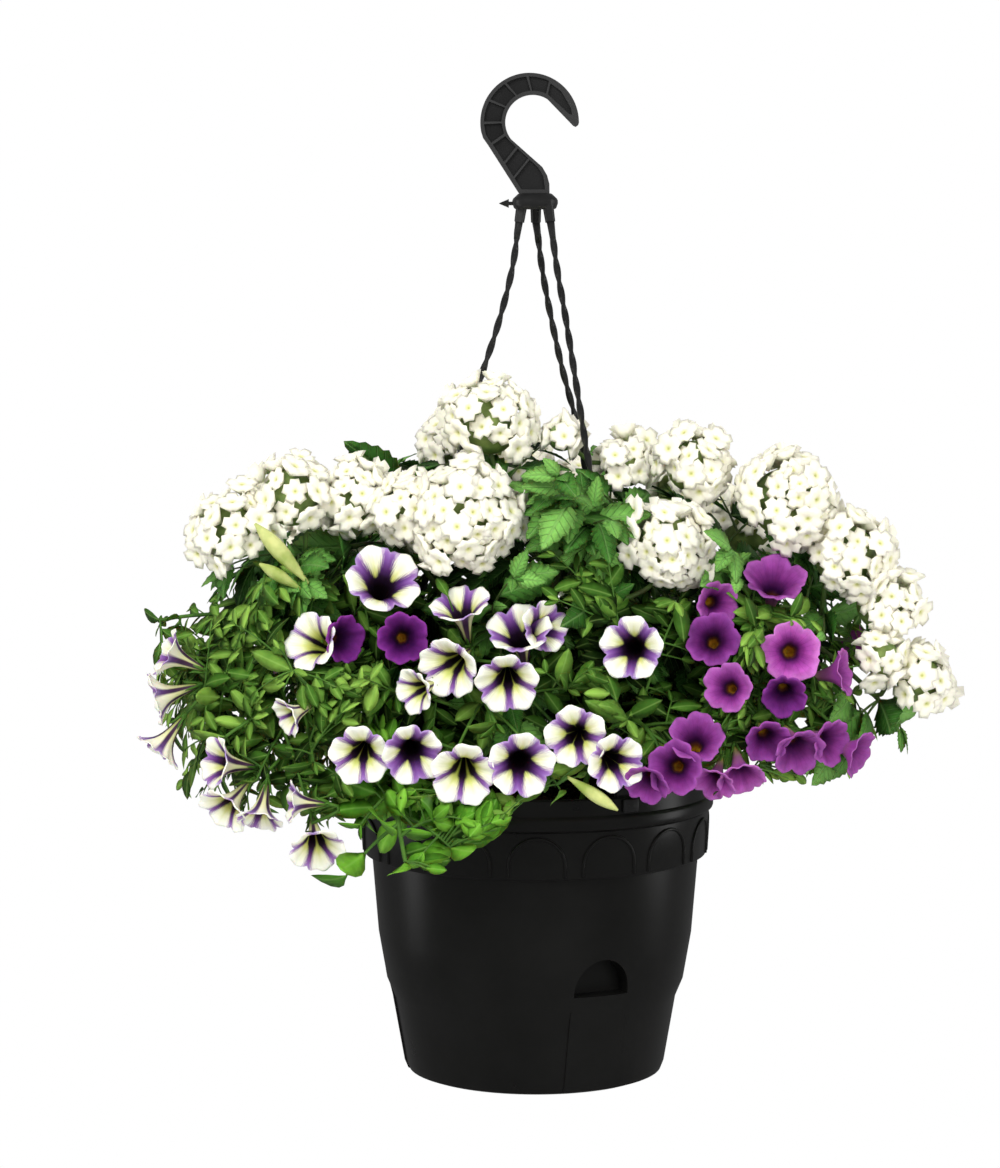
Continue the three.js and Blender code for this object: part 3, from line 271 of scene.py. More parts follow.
# Closed flowers: foot, tip and width
BUDS = {
    "petunia_shoot_far_left": [
        ((-155, -108, 358), (-190, -116, 399), 11), ((-160, -108, 354), (-187, -118, 372), 8)],
    "petunia_shoot_front": [((20, -158, 233), (53, -173, 213), 8)],
}
# Single large leaves that show well in front: foot and tip
SHOW_LEAVES = {
    "verbena_shoot_front": [
        ((38, -106, 400), (76, -116, 408)), ((36, -106, 400), (0, -112, 396)),
        ((41, -108, 390), (48, -124, 348)), ((34, -102, 410), (8, -108, 432)),
        ((38, -102, 408), (41, -106, 430)), ((36, -104, 384), (14, -116, 372))],
}


# Small helpers

def seeded(seed):
    """The same repeatable numbers from 0 to 1 as the solids draw."""
    state = seed

    def draw():
        nonlocal state
        state = state * 16807 % 2147483647
        return state / 2147483647

    return draw


def unit(v):
    """A direction of length 1."""
    v = np.asarray(v, float)
    return v / np.linalg.norm(v)


def facing(turn, tilt):
    """The direction that is turned to the right of the front and tilted up, in degrees."""
    t, e = math.radians(turn), math.radians(tilt)
    return np.array([math.sin(t) * math.cos(e), -math.cos(t) * math.cos(e), math.sin(e)])


def square_to(direction):
    """Two directions square to a line."""
    side = np.array([1.0, 0, 0]) if abs(direction[2]) > 0.95 else np.array([0, 0, 1.0])
    u = unit(np.cross(side, direction))
    return u, np.cross(direction, u)


def smooth_step(x, low, high):
    """A smooth rise from 0 at one value to 1 at another."""
    t = np.clip((x - low) / (high - low), 0, 1)
    return t * t * (3 - 2 * t)


def linear(hexed):
    """An sRGB colour such as "8a2bb0" as the linear colour that a shader takes."""
    parts = [int(hexed[i:i + 2], 16) / 255 for i in (0, 2, 4)]
    return (*[c / 12.92 if c <= 0.04045 else ((c + 0.055) / 1.055) ** 2.4 for c in parts], 1)


def mesh_of(name, points, faces, smooth=True):
    """A mesh in metres from points in millimetres."""
    made = bpy.data.meshes.new(name)
    made.from_pydata([tuple(p) for p in np.asarray(points, float) * MM], [], [tuple(f) for f in faces])
    made.shade_smooth() if smooth else made.shade_flat()
    made.update()
    return made


def object_of(name, mesh):
    """An object in the scene for a mesh."""
    made = bpy.data.objects.new(name, mesh)
    bpy.context.scene.collection.objects.link(made)
    return made


def baked(obj):
    """Turns the object's modifiers into plain mesh."""
    depsgraph = bpy.context.evaluated_depsgraph_get()
    mesh = bpy.data.meshes.new_from_object(
        obj.evaluated_get(depsgraph), preserve_all_data_layers=True, depsgraph=depsgraph)
    obj.modifiers.clear()
    obj.data = mesh
    return obj


@contextmanager
def opened(obj):
    """An object's mesh, open for work on its points and faces, and put back after it."""
    work = bmesh.new()
    work.from_mesh(obj.data)
    yield work
    work.to_mesh(obj.data)
    work.free()


def joined(name, objects):
    """One object from several, with their materials and attributes."""
    if len(objects) > 1:
        with bpy.context.temp_override(active_object=objects[0], selected_editable_objects=objects):
            bpy.ops.object.join()
    objects[0].name = name
    objects[0].data.name = name
    return objects[0]


def given_finish(obj, material):
    """Leaves a piece with one material."""
    obj.data.materials.clear()
    obj.data.materials.append(material)
    return obj


def smoothed(obj, angle):
    """Shades a piece smooth, but for the edges that turn by more than an angle."""
    obj.data.shade_smooth()
    obj.data.set_sharp_from_angle(angle=math.radians(angle))


def soften(obj, width, angle):
    """Rounds the edges that turn by more than an angle, and shades the rest smooth."""
    bevel = obj.modifiers.new("soft edges", "BEVEL")
    bevel.width = width * MM
    bevel.segments = 2
    bevel.limit_method = "ANGLE"
    bevel.angle_limit = math.radians(angle)
    bevel.use_clamp_overlap = True
    smoothed(baked(obj), angle=35)


def finished(piece, node_name):
    """Puts a piece on the basket's one body, and hides the solid that it stands for."""
    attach(piece, "root")
    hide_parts(node_name)


def feed(tree, node, inputs):
    """Gives a node's inputs their values or links, by name, or in order from a list.

    A node that is given stands for its first output in use, and a list inside makes several links.
    """
    for key, given in inputs.items() if isinstance(inputs, dict) else enumerate(inputs):
        for value in given if isinstance(given, list) else [given]:
            if isinstance(value, bpy.types.Node):
                value = next(socket for socket in value.outputs if socket.enabled)
            if isinstance(value, bpy.types.NodeSocket):
                tree.links.new(value, node.inputs[key])
            else:
                node.inputs[key].default_value = value


def add(tree, kind, inputs=None, stops=(), curve=(), **settings):
    """Adds a node to a tree with its settings, and values or links for its inputs.

    Stops are a colour ramp's places and hex colours, and a curve is a float curve's places and values.
    """
    made = tree.nodes.new(kind)
    for name, value in settings.items():
        setattr(made, name, value)
    feed(tree, made, inputs or {})
    for _ in stops[2:]:
        made.color_ramp.elements.new(0.5)
    for element, (place, colour) in zip(made.color_ramp.elements if stops else (), stops):
        element.position = place
        element.color = linear(colour)
    for _ in curve[2:]:
        made.mapping.curves[0].points.new(0.5, 0.5)
    for point, (place, value) in zip(made.mapping.curves[0].points if curve else (), curve):
        point.location = (place, value)
        point.handle_type = "AUTO_CLAMPED"
    if curve:
        made.mapping.update()
    return made


# Geometry Nodes trees

def new_tree(name, inputs):
    """A Geometry Nodes tree with its named inputs, which takes and gives a geometry."""
    tree = bpy.data.node_groups.new(name, "GeometryNodeTree")
    tree.interface.new_socket("Geometry", in_out="INPUT", socket_type="NodeSocketGeometry")
    for title, kind in inputs.items():
        tree.interface.new_socket(title, in_out="INPUT", socket_type="NodeSocket" + kind)
    tree.interface.new_socket("Geometry", in_out="OUTPUT", socket_type="NodeSocketGeometry")
    return tree, add(tree, "NodeGroupInput").outputs


def grow(obj, tree, values):
    """Runs a tree on an object and leaves the result as its plain mesh."""
    modifier = obj.modifiers.new(tree.name, "NODES")
    modifier.node_group = tree
    sockets = {item.name: item.identifier for item in tree.interface.items_tree if item.in_out == "INPUT"}
    for title, value in values.items():
        modifier[sockets[title]] = value
    return baked(obj)


def leafy_stems_tree():
    """Sweeps a round stem along every edge path, and sets a leaf on every spot."""
    tree, given = new_tree("leafy stems", {
        "Leaves": "Collection", "Sides": "Int", "Stem Finish": "Material", "Leaf Finish": "Material"})
    own = {
        name: add(tree, "GeometryNodeInputNamedAttribute", {"Name": name}, data_type=kind)
        for name, kind in (
            ("is_spot", "BOOLEAN"), ("thickness", "FLOAT"), ("kind", "INT"), ("turn", "QUATERNION"),
            ("size", "FLOAT_VECTOR"))}
    parts = add(tree, "GeometryNodeSeparateGeometry", [
        given["Geometry"], own["is_spot"]], domain="POINT")
    paths = add(tree, "GeometryNodeMeshToCurve", [parts.outputs["Inverted"]])
    ring = add(tree, "GeometryNodeCurvePrimitiveCircle", {"Resolution": given["Sides"], "Radius": 1.0})
    tubes = add(tree, "GeometryNodeCurveToMesh", {
        "Curve": paths, "Profile Curve": ring, "Scale": own["thickness"], "Fill Caps": True})
    stems = add(tree, "GeometryNodeSetMaterial", {0: tubes, "Material": given["Stem Finish"]})
    kinds = add(tree, "GeometryNodeCollectionInfo", {
        "Collection": given["Leaves"], "Separate Children": True, "Reset Children": True})
    copies = add(tree, "GeometryNodeInstanceOnPoints", {
        "Points": parts.outputs["Selection"], "Instance": kinds, "Pick Instance": True,
        "Instance Index": own["kind"], "Rotation": own["turn"], "Scale": own["size"]})
    real = add(tree, "GeometryNodeRealizeInstances", [copies])
    leaves = add(tree, "GeometryNodeSetMaterial", {0: real, "Material": given["Leaf Finish"]})
    whole = add(tree, "GeometryNodeJoinGeometry", [[leaves, stems]])
    add(tree, "NodeGroupOutput", [add(tree, "GeometryNodeSetShadeSmooth", [whole])])
    return tree


def flower_head_tree():
    """Sets florets all over a cap by the golden angle, each facing outwards with a little scatter."""
    tree, given = new_tree("flower head", {
        "Floret": "Object", "Florets": "Int", "Radius": "Float", "Cover": "Float", "Floret Size": "Float",
        "Facing": "Vector", "Middle": "Vector", "Seed": "Int", "Finish": "Material"})
    golden_angle = math.radians(137.508)
    scatter, lean = 0.07, 0.42
    drawn = {
        name: add(tree, "FunctionNodeRandomValue", {
            "Min": low, "Max": high, "Seed": given["Seed"]}, data_type=kind)
        for name, kind, low, high in (
            ("scatter", "FLOAT_VECTOR", (-scatter,) * 3, (scatter,) * 3), ("level", "FLOAT", 0.8, 1.07),
            ("lean", "FLOAT_VECTOR", (-lean, -lean, 0.0), (lean, lean, math.tau)),
            ("spread", "FLOAT", 0.85, 1.12), ("tint", "FLOAT", 0.0, 1.0))}

    index = add(tree, "GeometryNodeInputIndex")
    counted = add(tree, "ShaderNodeMath", [index, 0.5], operation="ADD")
    share = add(tree, "ShaderNodeMath", [counted, given["Florets"]], operation="DIVIDE")
    lowered = add(tree, "ShaderNodeMath", [share, given["Cover"]], operation="MULTIPLY")
    height = add(tree, "ShaderNodeMath", [1.0, lowered], operation="SUBTRACT")
    squared = add(tree, "ShaderNodeMath", [height, height], operation="MULTIPLY")
    rest = add(tree, "ShaderNodeMath", [1.0, squared], operation="SUBTRACT")
    reach = add(tree, "ShaderNodeMath", [rest], operation="SQRT")
    turn = add(tree, "ShaderNodeMath", [index, golden_angle], operation="MULTIPLY")
    cosine = add(tree, "ShaderNodeMath", [turn], operation="COSINE")
    sine = add(tree, "ShaderNodeMath", [turn], operation="SINE")
    way = add(tree, "ShaderNodeCombineXYZ", [
        add(tree, "ShaderNodeMath", [reach, cosine], operation="MULTIPLY"),
        add(tree, "ShaderNodeMath", [reach, sine], operation="MULTIPLY"), height])
    way = add(tree, "ShaderNodeVectorMath", [way, drawn["scatter"]], operation="ADD")
    to_face = add(tree, "FunctionNodeAlignRotationToVector", {"Vector": given["Facing"]}, axis="Z")
    way = add(tree, "FunctionNodeRotateVector", {"Vector": way, "Rotation": to_face})
    distance = add(tree, "ShaderNodeMath", [given["Radius"], drawn["level"]], operation="MULTIPLY")
    out = add(tree, "ShaderNodeVectorMath", {0: way, "Scale": distance}, operation="SCALE")
    place = add(tree, "ShaderNodeVectorMath", [out, given["Middle"]], operation="ADD")
    points = add(tree, "GeometryNodePoints", {"Count": given["Florets"], "Position": place})

    away = add(tree, "ShaderNodeVectorMath", [
        add(tree, "GeometryNodeInputPosition"), given["Middle"]], operation="SUBTRACT")
    outwards = add(tree, "FunctionNodeAlignRotationToVector", {"Vector": away}, axis="Z")
    leaning = add(tree, "FunctionNodeEulerToRotation", [drawn["lean"]])
    turned = add(tree, "FunctionNodeRotateRotation", {
        "Rotation": outwards, "Rotate By": leaning}, rotation_space="LOCAL")
    size = add(tree, "ShaderNodeMath", [given["Floret Size"], drawn["spread"]], operation="MULTIPLY")
    floret = add(tree, "GeometryNodeObjectInfo", {"Object": given["Floret"]}).outputs["Geometry"]
    copies = add(tree, "GeometryNodeInstanceOnPoints", {
        "Points": points, "Instance": floret, "Rotation": turned, "Scale": size})
    marked = add(tree, "GeometryNodeStoreNamedAttribute", {
        0: copies, "Name": "tint", "Value": drawn["tint"]}, data_type="FLOAT", domain="INSTANCE")
    real = add(tree, "GeometryNodeRealizeInstances", [marked])
    done = add(tree, "GeometryNodeSetMaterial", {0: real, "Material": given["Finish"]})
    add(tree, "NodeGroupOutput", [add(tree, "GeometryNodeJoinGeometry", [[done, given["Geometry"]]])])
    return tree


def twisted_strand_tree():
    """Sweeps a section along a path and twists it once in every pitch."""
    tree, given = new_tree("twisted strand", {
        "Section": "Object", "Pitch": "Float", "Step": "Float", "Finish": "Material"})
    path = add(tree, "GeometryNodeMeshToCurve", [given["Geometry"]])
    even = add(tree, "GeometryNodeResampleCurve", {"Curve": path, "Length": given["Step"]}, mode="LENGTH")
    run = add(tree, "GeometryNodeSplineParameter").outputs["Length"]
    turns = add(tree, "ShaderNodeMath", [run, given["Pitch"]], operation="DIVIDE")
    angle = add(tree, "ShaderNodeMath", [turns, math.tau], operation="MULTIPLY")
    tilted = add(tree, "GeometryNodeSetCurveTilt", {"Curve": even, "Tilt": angle})
    section = add(tree, "GeometryNodeObjectInfo", {"Object": given["Section"]}).outputs["Geometry"]
    ring = add(tree, "GeometryNodeMeshToCurve", [section])
    tube = add(tree, "GeometryNodeCurveToMesh", {"Curve": tilted, "Profile Curve": ring, "Fill Caps": True})
    done = add(tree, "GeometryNodeSetMaterial", {0: tube, "Material": given["Finish"]})
    add(tree, "NodeGroupOutput", [add(tree, "GeometryNodeSetShadeSmooth", [done])])
    return tree


def ring_of_copies_tree():
    """Repeats a piece evenly round the height axis."""
    tree, given = new_tree("ring of copies", {"Count": "Int", "Finish": "Material"})
    points = add(tree, "GeometryNodePoints", {"Count": given["Count"]})
    step = add(tree, "ShaderNodeMath", [math.tau, given["Count"]], operation="DIVIDE")
    index = add(tree, "GeometryNodeInputIndex")
    angle = add(tree, "ShaderNodeMath", [index, step], operation="MULTIPLY")
    turn = add(tree, "FunctionNodeEulerToRotation", [add(tree, "ShaderNodeCombineXYZ", {2: angle})])
    copies = add(tree, "GeometryNodeInstanceOnPoints", {
        "Points": points, "Instance": given["Geometry"], "Rotation": turn})
    real = add(tree, "GeometryNodeRealizeInstances", [copies])
    add(tree, "NodeGroupOutput", [
        add(tree, "GeometryNodeSetMaterial", {0: real, "Material": given["Finish"]})])
    return tree


def crumbs_tree():
    """Strews crumbs over a surface, each turned and sized at random."""
    tree, given = new_tree("crumbs", {
        "Crumb": "Object", "Spacing": "Float", "Density": "Float", "Seed": "Int", "Finish": "Material"})
    spots = add(tree, "GeometryNodeDistributePointsOnFaces", {
        "Mesh": given["Geometry"], "Distance Min": given["Spacing"], "Density Max": given["Density"],
        "Seed": given["Seed"]}, distribute_method="POISSON")
    spin, size = (add(tree, "FunctionNodeRandomValue", {
        "Min": low, "Max": high, "Seed": given["Seed"]}, data_type="FLOAT_VECTOR") for low, high in (
            ((0, 0, 0), (math.tau, math.tau, math.tau)), ((0.4, 0.5, 0.3), (1.3, 1.6, 1.0))))
    crumb = add(tree, "GeometryNodeObjectInfo", {"Object": given["Crumb"]}).outputs["Geometry"]
    copies = add(tree, "GeometryNodeInstanceOnPoints", {
        "Points": spots, "Instance": crumb, "Scale": size,
        "Rotation": add(tree, "FunctionNodeEulerToRotation", [spin])})
    real = add(tree, "GeometryNodeRealizeInstances", [copies])
    done = add(tree, "GeometryNodeSetMaterial", {0: real, "Material": given["Finish"]})
    add(tree, "NodeGroupOutput", [add(tree, "GeometryNodeJoinGeometry", [[done, given["Geometry"]]])])
    return tree


# Finishes

def finish_of(name, roughness, **sockets):
    """A material with its shader, and the values that are the same all over it."""
    made = bpy.data.materials.new(name)
    made.use_nodes = True
    shader = made.node_tree.nodes["Principled BSDF"]
    feed(made.node_tree, shader, {"Roughness": roughness})
    feed(made.node_tree, shader, {title.replace("_", " "): value for title, value in sockets.items()})
    return made, made.node_tree, shader


def unevenness(tree, patches, detail=3.0, roughness=0.55):
    """A cloudy pattern fixed to the piece, with so many patches to a metre."""
    return add(tree, "ShaderNodeTexNoise", {
        "Vector": add(tree, "ShaderNodeTexCoord").outputs["Object"], "Scale": patches,
        "Detail": detail, "Roughness": roughness})


def finely_grained(tree, shader, grains, detail, strength, depth):
    """Gives a finish a fine grain, by its grains to a metre and its depth in millimetres."""
    grain = unevenness(tree, grains, detail)
    feed(tree, shader, {"Normal": add(tree, "ShaderNodeBump", {
        "Height": grain, "Strength": strength, "Distance": depth * MM})})


def own_share(tree, name):
    """A share from 0 to 1 that each flower or leaf carries; on leaves it also holds painted light and shade.
    """
    return add(tree, "ShaderNodeAttribute", attribute_name=name, attribute_type="GEOMETRY").outputs["Fac"]


def surface_map(tree):
    """The piece's own map: across a lobe or leaf, and how far out or along."""
    split = add(tree, "ShaderNodeSeparateXYZ", [add(tree, "ShaderNodeTexCoord").outputs["UV"]])
    return split.outputs[0], split.outputs[1]


def polypropylene_black(name, base, roughness, grains, ribs=None):
    """Injection-moulded black polypropylene: softly glossy, with faint flow and dust in its gloss.

    Ribs are a lighter colour painted on what stands out from the hook's flat sides: a painted highlight on
    the ribs and border, which leaves the recess floors darker as painted shade.
    """
    made, tree, shader = finish_of(name, roughness, IOR=1.49, Specular_IOR_Level=0.4)
    flow = unevenness(tree, 14, 4.0)
    colour = add(tree, "ShaderNodeValToRGB", {"Fac": flow}, stops=[(0.3, base[0]), (0.75, base[1])])
    # Painted highlight on the raised ribs and border, against painted shade on the recess floors
    if ribs:
        place = add(tree, "ShaderNodeSeparateXYZ", [add(tree, "ShaderNodeTexCoord").outputs["Object"]])
        out = add(tree, "ShaderNodeMath", [place.outputs[1]], operation="ABSOLUTE")
        web, thickness = HOOK["web"] * MM, HOOK["thickness"] * MM
        on_rib, on_hook = (
            add(tree, "ShaderNodeMapRange", {
                "Value": out, "From Min": low, "From Max": high}, interpolation_type="SMOOTHSTEP")
            for low, high in ((0.6 * web, 0.46 * thickness), (0.9 * thickness, 0.6 * thickness)))
        painted_rib_highlight = add(tree, "ShaderNodeMath", [on_rib, on_hook], operation="MULTIPLY")
        colour = add(tree, "ShaderNodeMix", {
            "Factor": painted_rib_highlight, "A": colour, "B": linear(ribs)}, data_type="RGBA")
    gloss = add(tree, "ShaderNodeMath", [flow, 0.16, roughness - 0.08], operation="MULTIPLY_ADD")
    feed(tree, shader, {"Base Color": colour, "Roughness": gloss})
    finely_grained(tree, shader, grains, 2.0, 0.12, 0.2)
    return made


def moist_peat():
    """Moist peat and bark: crumbly, nearly black brown, with paler fibres."""
    made, tree, shader = finish_of("moist_peat", 0.92, Specular_IOR_Level=0.25)
    colour = add(tree, "ShaderNodeValToRGB", {"Fac": unevenness(tree, 260, 6.0, 0.7)}, stops=[
        (0.3, "120b07"), (0.52, "2a1c12"), (0.68, "4a3422"), (0.8, "6b5236")])
    feed(tree, shader, {"Base Color": colour})
    finely_grained(tree, shader, 420, 5.0, 0.8, 1)
    return made


def stem_green(name, young, old):
    """Soft herbaceous stem: light green, a little browner where it is older."""
    made, tree, shader = finish_of(name, 0.5, Subsurface_Weight=0.08, Subsurface_Scale=0.002)
    colour = add(tree, "ShaderNodeValToRGB", {"Fac": unevenness(tree, 60)}, stops=[
        (0.35, old), (0.65, young)])
    feed(tree, shader, {"Base Color": colour})
    finely_grained(tree, shader, 900, 3.0, 0.2, 0.2)
    return made


def leaf_shades(tree, shades, patches):
    """A leaf's green between its dark, middle and light shade: its tint, which on many leaves carries
    painted light and shade, a little patchy.
    """
    tint = own_share(tree, "tint")
    patchy = add(tree, "ShaderNodeMath", [
        unevenness(tree, patches), 0.5, -0.25], operation="MULTIPLY_ADD")
    shade = add(tree, "ShaderNodeMath", [tint, patchy], operation="ADD")
    return add(tree, "ShaderNodeValToRGB", {"Fac": shade}, stops=list(zip((0.0, 0.45, 1.0), shades)))


def narrow_line(tree, value, width):
    """A line where a value is nought: 1 on it, and falling to 0 over a width."""
    share = add(tree, "ShaderNodeMath", [value, width], operation="DIVIDE")
    line = add(tree, "ShaderNodeMath", [1.0, share], operation="SUBTRACT")
    return add(tree, "ShaderNodeMath", [line, 0.0], operation="MAXIMUM")


def from_middle(tree, across):
    """How far a place is from the rib along a leaf's middle."""
    aside = add(tree, "ShaderNodeMath", [across, 0.5], operation="SUBTRACT")
    return add(tree, "ShaderNodeMath", [aside], operation="ABSOLUTE")


def soft_leaf(name, shades, vein):
    """Small smooth leaf: slightly waxy, with a paler rib along its middle."""
    made, tree, shader = finish_of(
        name, 0.58, Subsurface_Weight=0.06, Subsurface_Scale=0.002, Specular_IOR_Level=0.18)
    across, _ = surface_map(tree)
    rib = narrow_line(tree, from_middle(tree, across), 0.07)
    rib = add(tree, "ShaderNodeMath", [rib, 0.25], operation="MULTIPLY")
    colour = add(tree, "ShaderNodeMix", {
        "Factor": rib, "A": leaf_shades(tree, shades, 120), "B": linear(vein)}, data_type="RGBA")
    height = add(tree, "ShaderNodeMath", [unevenness(tree, 500), rib], operation="ADD")
    bump = add(tree, "ShaderNodeBump", {"Height": height, "Strength": 0.25, "Distance": 0.4 * MM})
    feed(tree, shader, {"Base Color": colour, "Normal": bump})
    return made


# How many side veins a toothed leaf has on each side of its rib
SIDE_VEINS = 7


def toothed_leaf(name, shades, vein):
    """Verbena leaf: matt, with a sunken rib and side veins that run out to its teeth."""
    made, tree, shader = finish_of(
        name, 0.6, Subsurface_Weight=0.05, Subsurface_Scale=0.002, Specular_IOR_Level=0.18)
    across, reach = surface_map(tree)
    from_rib = from_middle(tree, across)
    forward = add(tree, "ShaderNodeMath", [from_rib, 0.55], operation="MULTIPLY")
    slant = add(tree, "ShaderNodeMath", [reach, forward], operation="SUBTRACT")
    turns = add(tree, "ShaderNodeMath", [slant, SIDE_VEINS * math.pi], operation="MULTIPLY")
    wave = add(tree, "ShaderNodeMath", [turns], operation="SINE")
    side_veins = narrow_line(tree, add(tree, "ShaderNodeMath", [wave], operation="ABSOLUTE"), 1 / 4.5)
    rib = narrow_line(tree, from_rib, 0.05)
    veins = add(tree, "ShaderNodeMath", [side_veins, rib], operation="MAXIMUM")
    paler = add(tree, "ShaderNodeMath", [veins, 0.28], operation="MULTIPLY")
    colour = add(tree, "ShaderNodeMix", {
        "Factor": paler, "A": leaf_shades(tree, shades, 90), "B": linear(vein)}, data_type="RGBA")
    quilt = add(tree, "ShaderNodeMath", [unevenness(tree, 350), 0.5], operation="MULTIPLY")
    quilt = add(tree, "ShaderNodeMath", [quilt, veins], operation="SUBTRACT")
    bump = add(tree, "ShaderNodeBump", {"Height": quilt, "Strength": 0.8, "Distance": 1.4 * MM})
    feed(tree, shader, {"Base Color": colour, "Normal": bump})
    return made


def striped_band(tree, half_width, boldness, soft, feathering=None):
    """Where the violet band on a seam is: broader by the flower's own boldness, with a soft edge."""
    from_seam, reach = surface_map(tree)
    bold = own_share(tree, "boldness")
    broad = add(tree, "ShaderNodeMath", [bold, boldness[0], boldness[1]], operation="MULTIPLY_ADD")
    share = add(tree, "ShaderNodeFloatCurve", {"Value": reach}, curve=half_width)
    width = add(tree, "ShaderNodeMath", [share, broad], operation="MULTIPLY")
    aside = from_seam
    if feathering:
        vector = add(tree, "ShaderNodeCombineXYZ", {
            axis: add(tree, "ShaderNodeMath", [value, scale], operation="MULTIPLY")
            for axis, (value, scale) in enumerate(zip((from_seam, reach, bold), feathering))})
        rough = add(tree, "ShaderNodeTexNoise", {
            "Vector": vector, "Scale": 1.6, "Detail": 4.0, "Roughness": 0.65})
        ragged = add(tree, "ShaderNodeMath", [rough, 0.72, -0.36], operation="MULTIPLY_ADD")
        aside = add(tree, "ShaderNodeMath", [from_seam, ragged], operation="ADD")
    depth = add(tree, "ShaderNodeMath", [width, aside], operation="SUBTRACT")
    return add(tree, "ShaderNodeMapRange", {"Value": depth, "From Min": -soft, "From Max": soft})


def striped_petal():
    """Bicolour petal: cream lobes, and a violet band on each seam that feathers out from a dark throat."""
    made, tree, shader = finish_of(
        "striped_petal", 0.62, Subsurface_Weight=0.12, Subsurface_Scale=0.003, Specular_IOR_Level=0.3)
    from_seam, reach = surface_map(tree)
    band = striped_band(tree, [
        (0.0, 1.0), (0.38, 1.0), (0.48, 0.64), (0.6, 0.42), (0.78, 0.33), (0.92, 0.33), (1.0, 0.36)],
        (0.9, 0.55), 0.15, (13.0, 2.4, 40.0))
    violet = add(tree, "ShaderNodeValToRGB", {"Fac": reach}, stops=[
        (0.36, "0b0409"), (0.47, "1d0a24"), (0.57, "44205a"), (0.71, "6e4289"), (0.87, "8b61a6"),
        (1.0, "ab90c2")])
    cream = add(tree, "ShaderNodeValToRGB", {"Fac": reach}, stops=[
        (0.4, "8f9a3c"), (0.5, "c6ca74"), (0.63, "e9e7c4"), (0.85, "f5f2e4")])
    on_middle, inner = (add(tree, "ShaderNodeMapRange", {
        "Value": value, "From Min": low, "From Max": high}, interpolation_type="SMOOTHSTEP")
        for value, low, high in ((from_seam, 0.78, 1.0), (reach, 0.86, 0.5)))
    middle = add(tree, "ShaderNodeMath", [on_middle, inner], operation="MULTIPLY")
    yellowed = add(tree, "ShaderNodeMath", [middle, 0.35], operation="MULTIPLY")
    cream = add(tree, "ShaderNodeMix", {
        "Factor": yellowed, "A": cream, "B": linear("c9cf63")}, data_type="RGBA")
    colour = add(tree, "ShaderNodeMix", {"Factor": band, "A": cream, "B": violet}, data_type="RGBA")
    turns = add(tree, "ShaderNodeMath", [from_seam, 26.0], operation="MULTIPLY")
    veins = add(tree, "ShaderNodeMath", [turns], operation="SINE")
    height = add(tree, "ShaderNodeMath", [veins, unevenness(tree, 700)], operation="ADD")
    bump = add(tree, "ShaderNodeBump", {"Height": height, "Strength": 0.18, "Distance": 0.4 * MM})
    feed(tree, shader, {"Base Color": colour, "Normal": bump})
    return made


def striped_back():
    """The outside of a bicolour trumpet: dull cream, with dusky purple stripes that run down its tube."""
    made, tree, shader = finish_of(
        "striped_trumpet_back", 0.65, Subsurface_Weight=0.1, Subsurface_Scale=0.003)
    _, reach = surface_map(tree)
    band = striped_band(tree, [
        (0.0, 0.6), (0.35, 0.55), (0.5, 0.42), (0.75, 0.36), (1.0, 0.45)], (0.8, 0.6), 0.14)
    dusky = add(tree, "ShaderNodeValToRGB", {"Fac": reach}, stops=[
        (0.1, "4a3346"), (0.4, "3a2140"), (0.65, "5c3d78"), (1.0, "a88fc2")])
    cream = add(tree, "ShaderNodeValToRGB", {"Fac": reach}, stops=[
        (0.1, "8f9a4e"), (0.34, "cccb92"), (0.6, "e8e5cc"), (1.0, "f3efe4")])
    feed(tree, shader, {"Base Color": add(tree, "ShaderNodeMix", {
        "Factor": band, "A": cream, "B": dusky}, data_type="RGBA")})
    finely_grained(tree, shader, 600, 3.0, 0.2, 0.3)
    return made


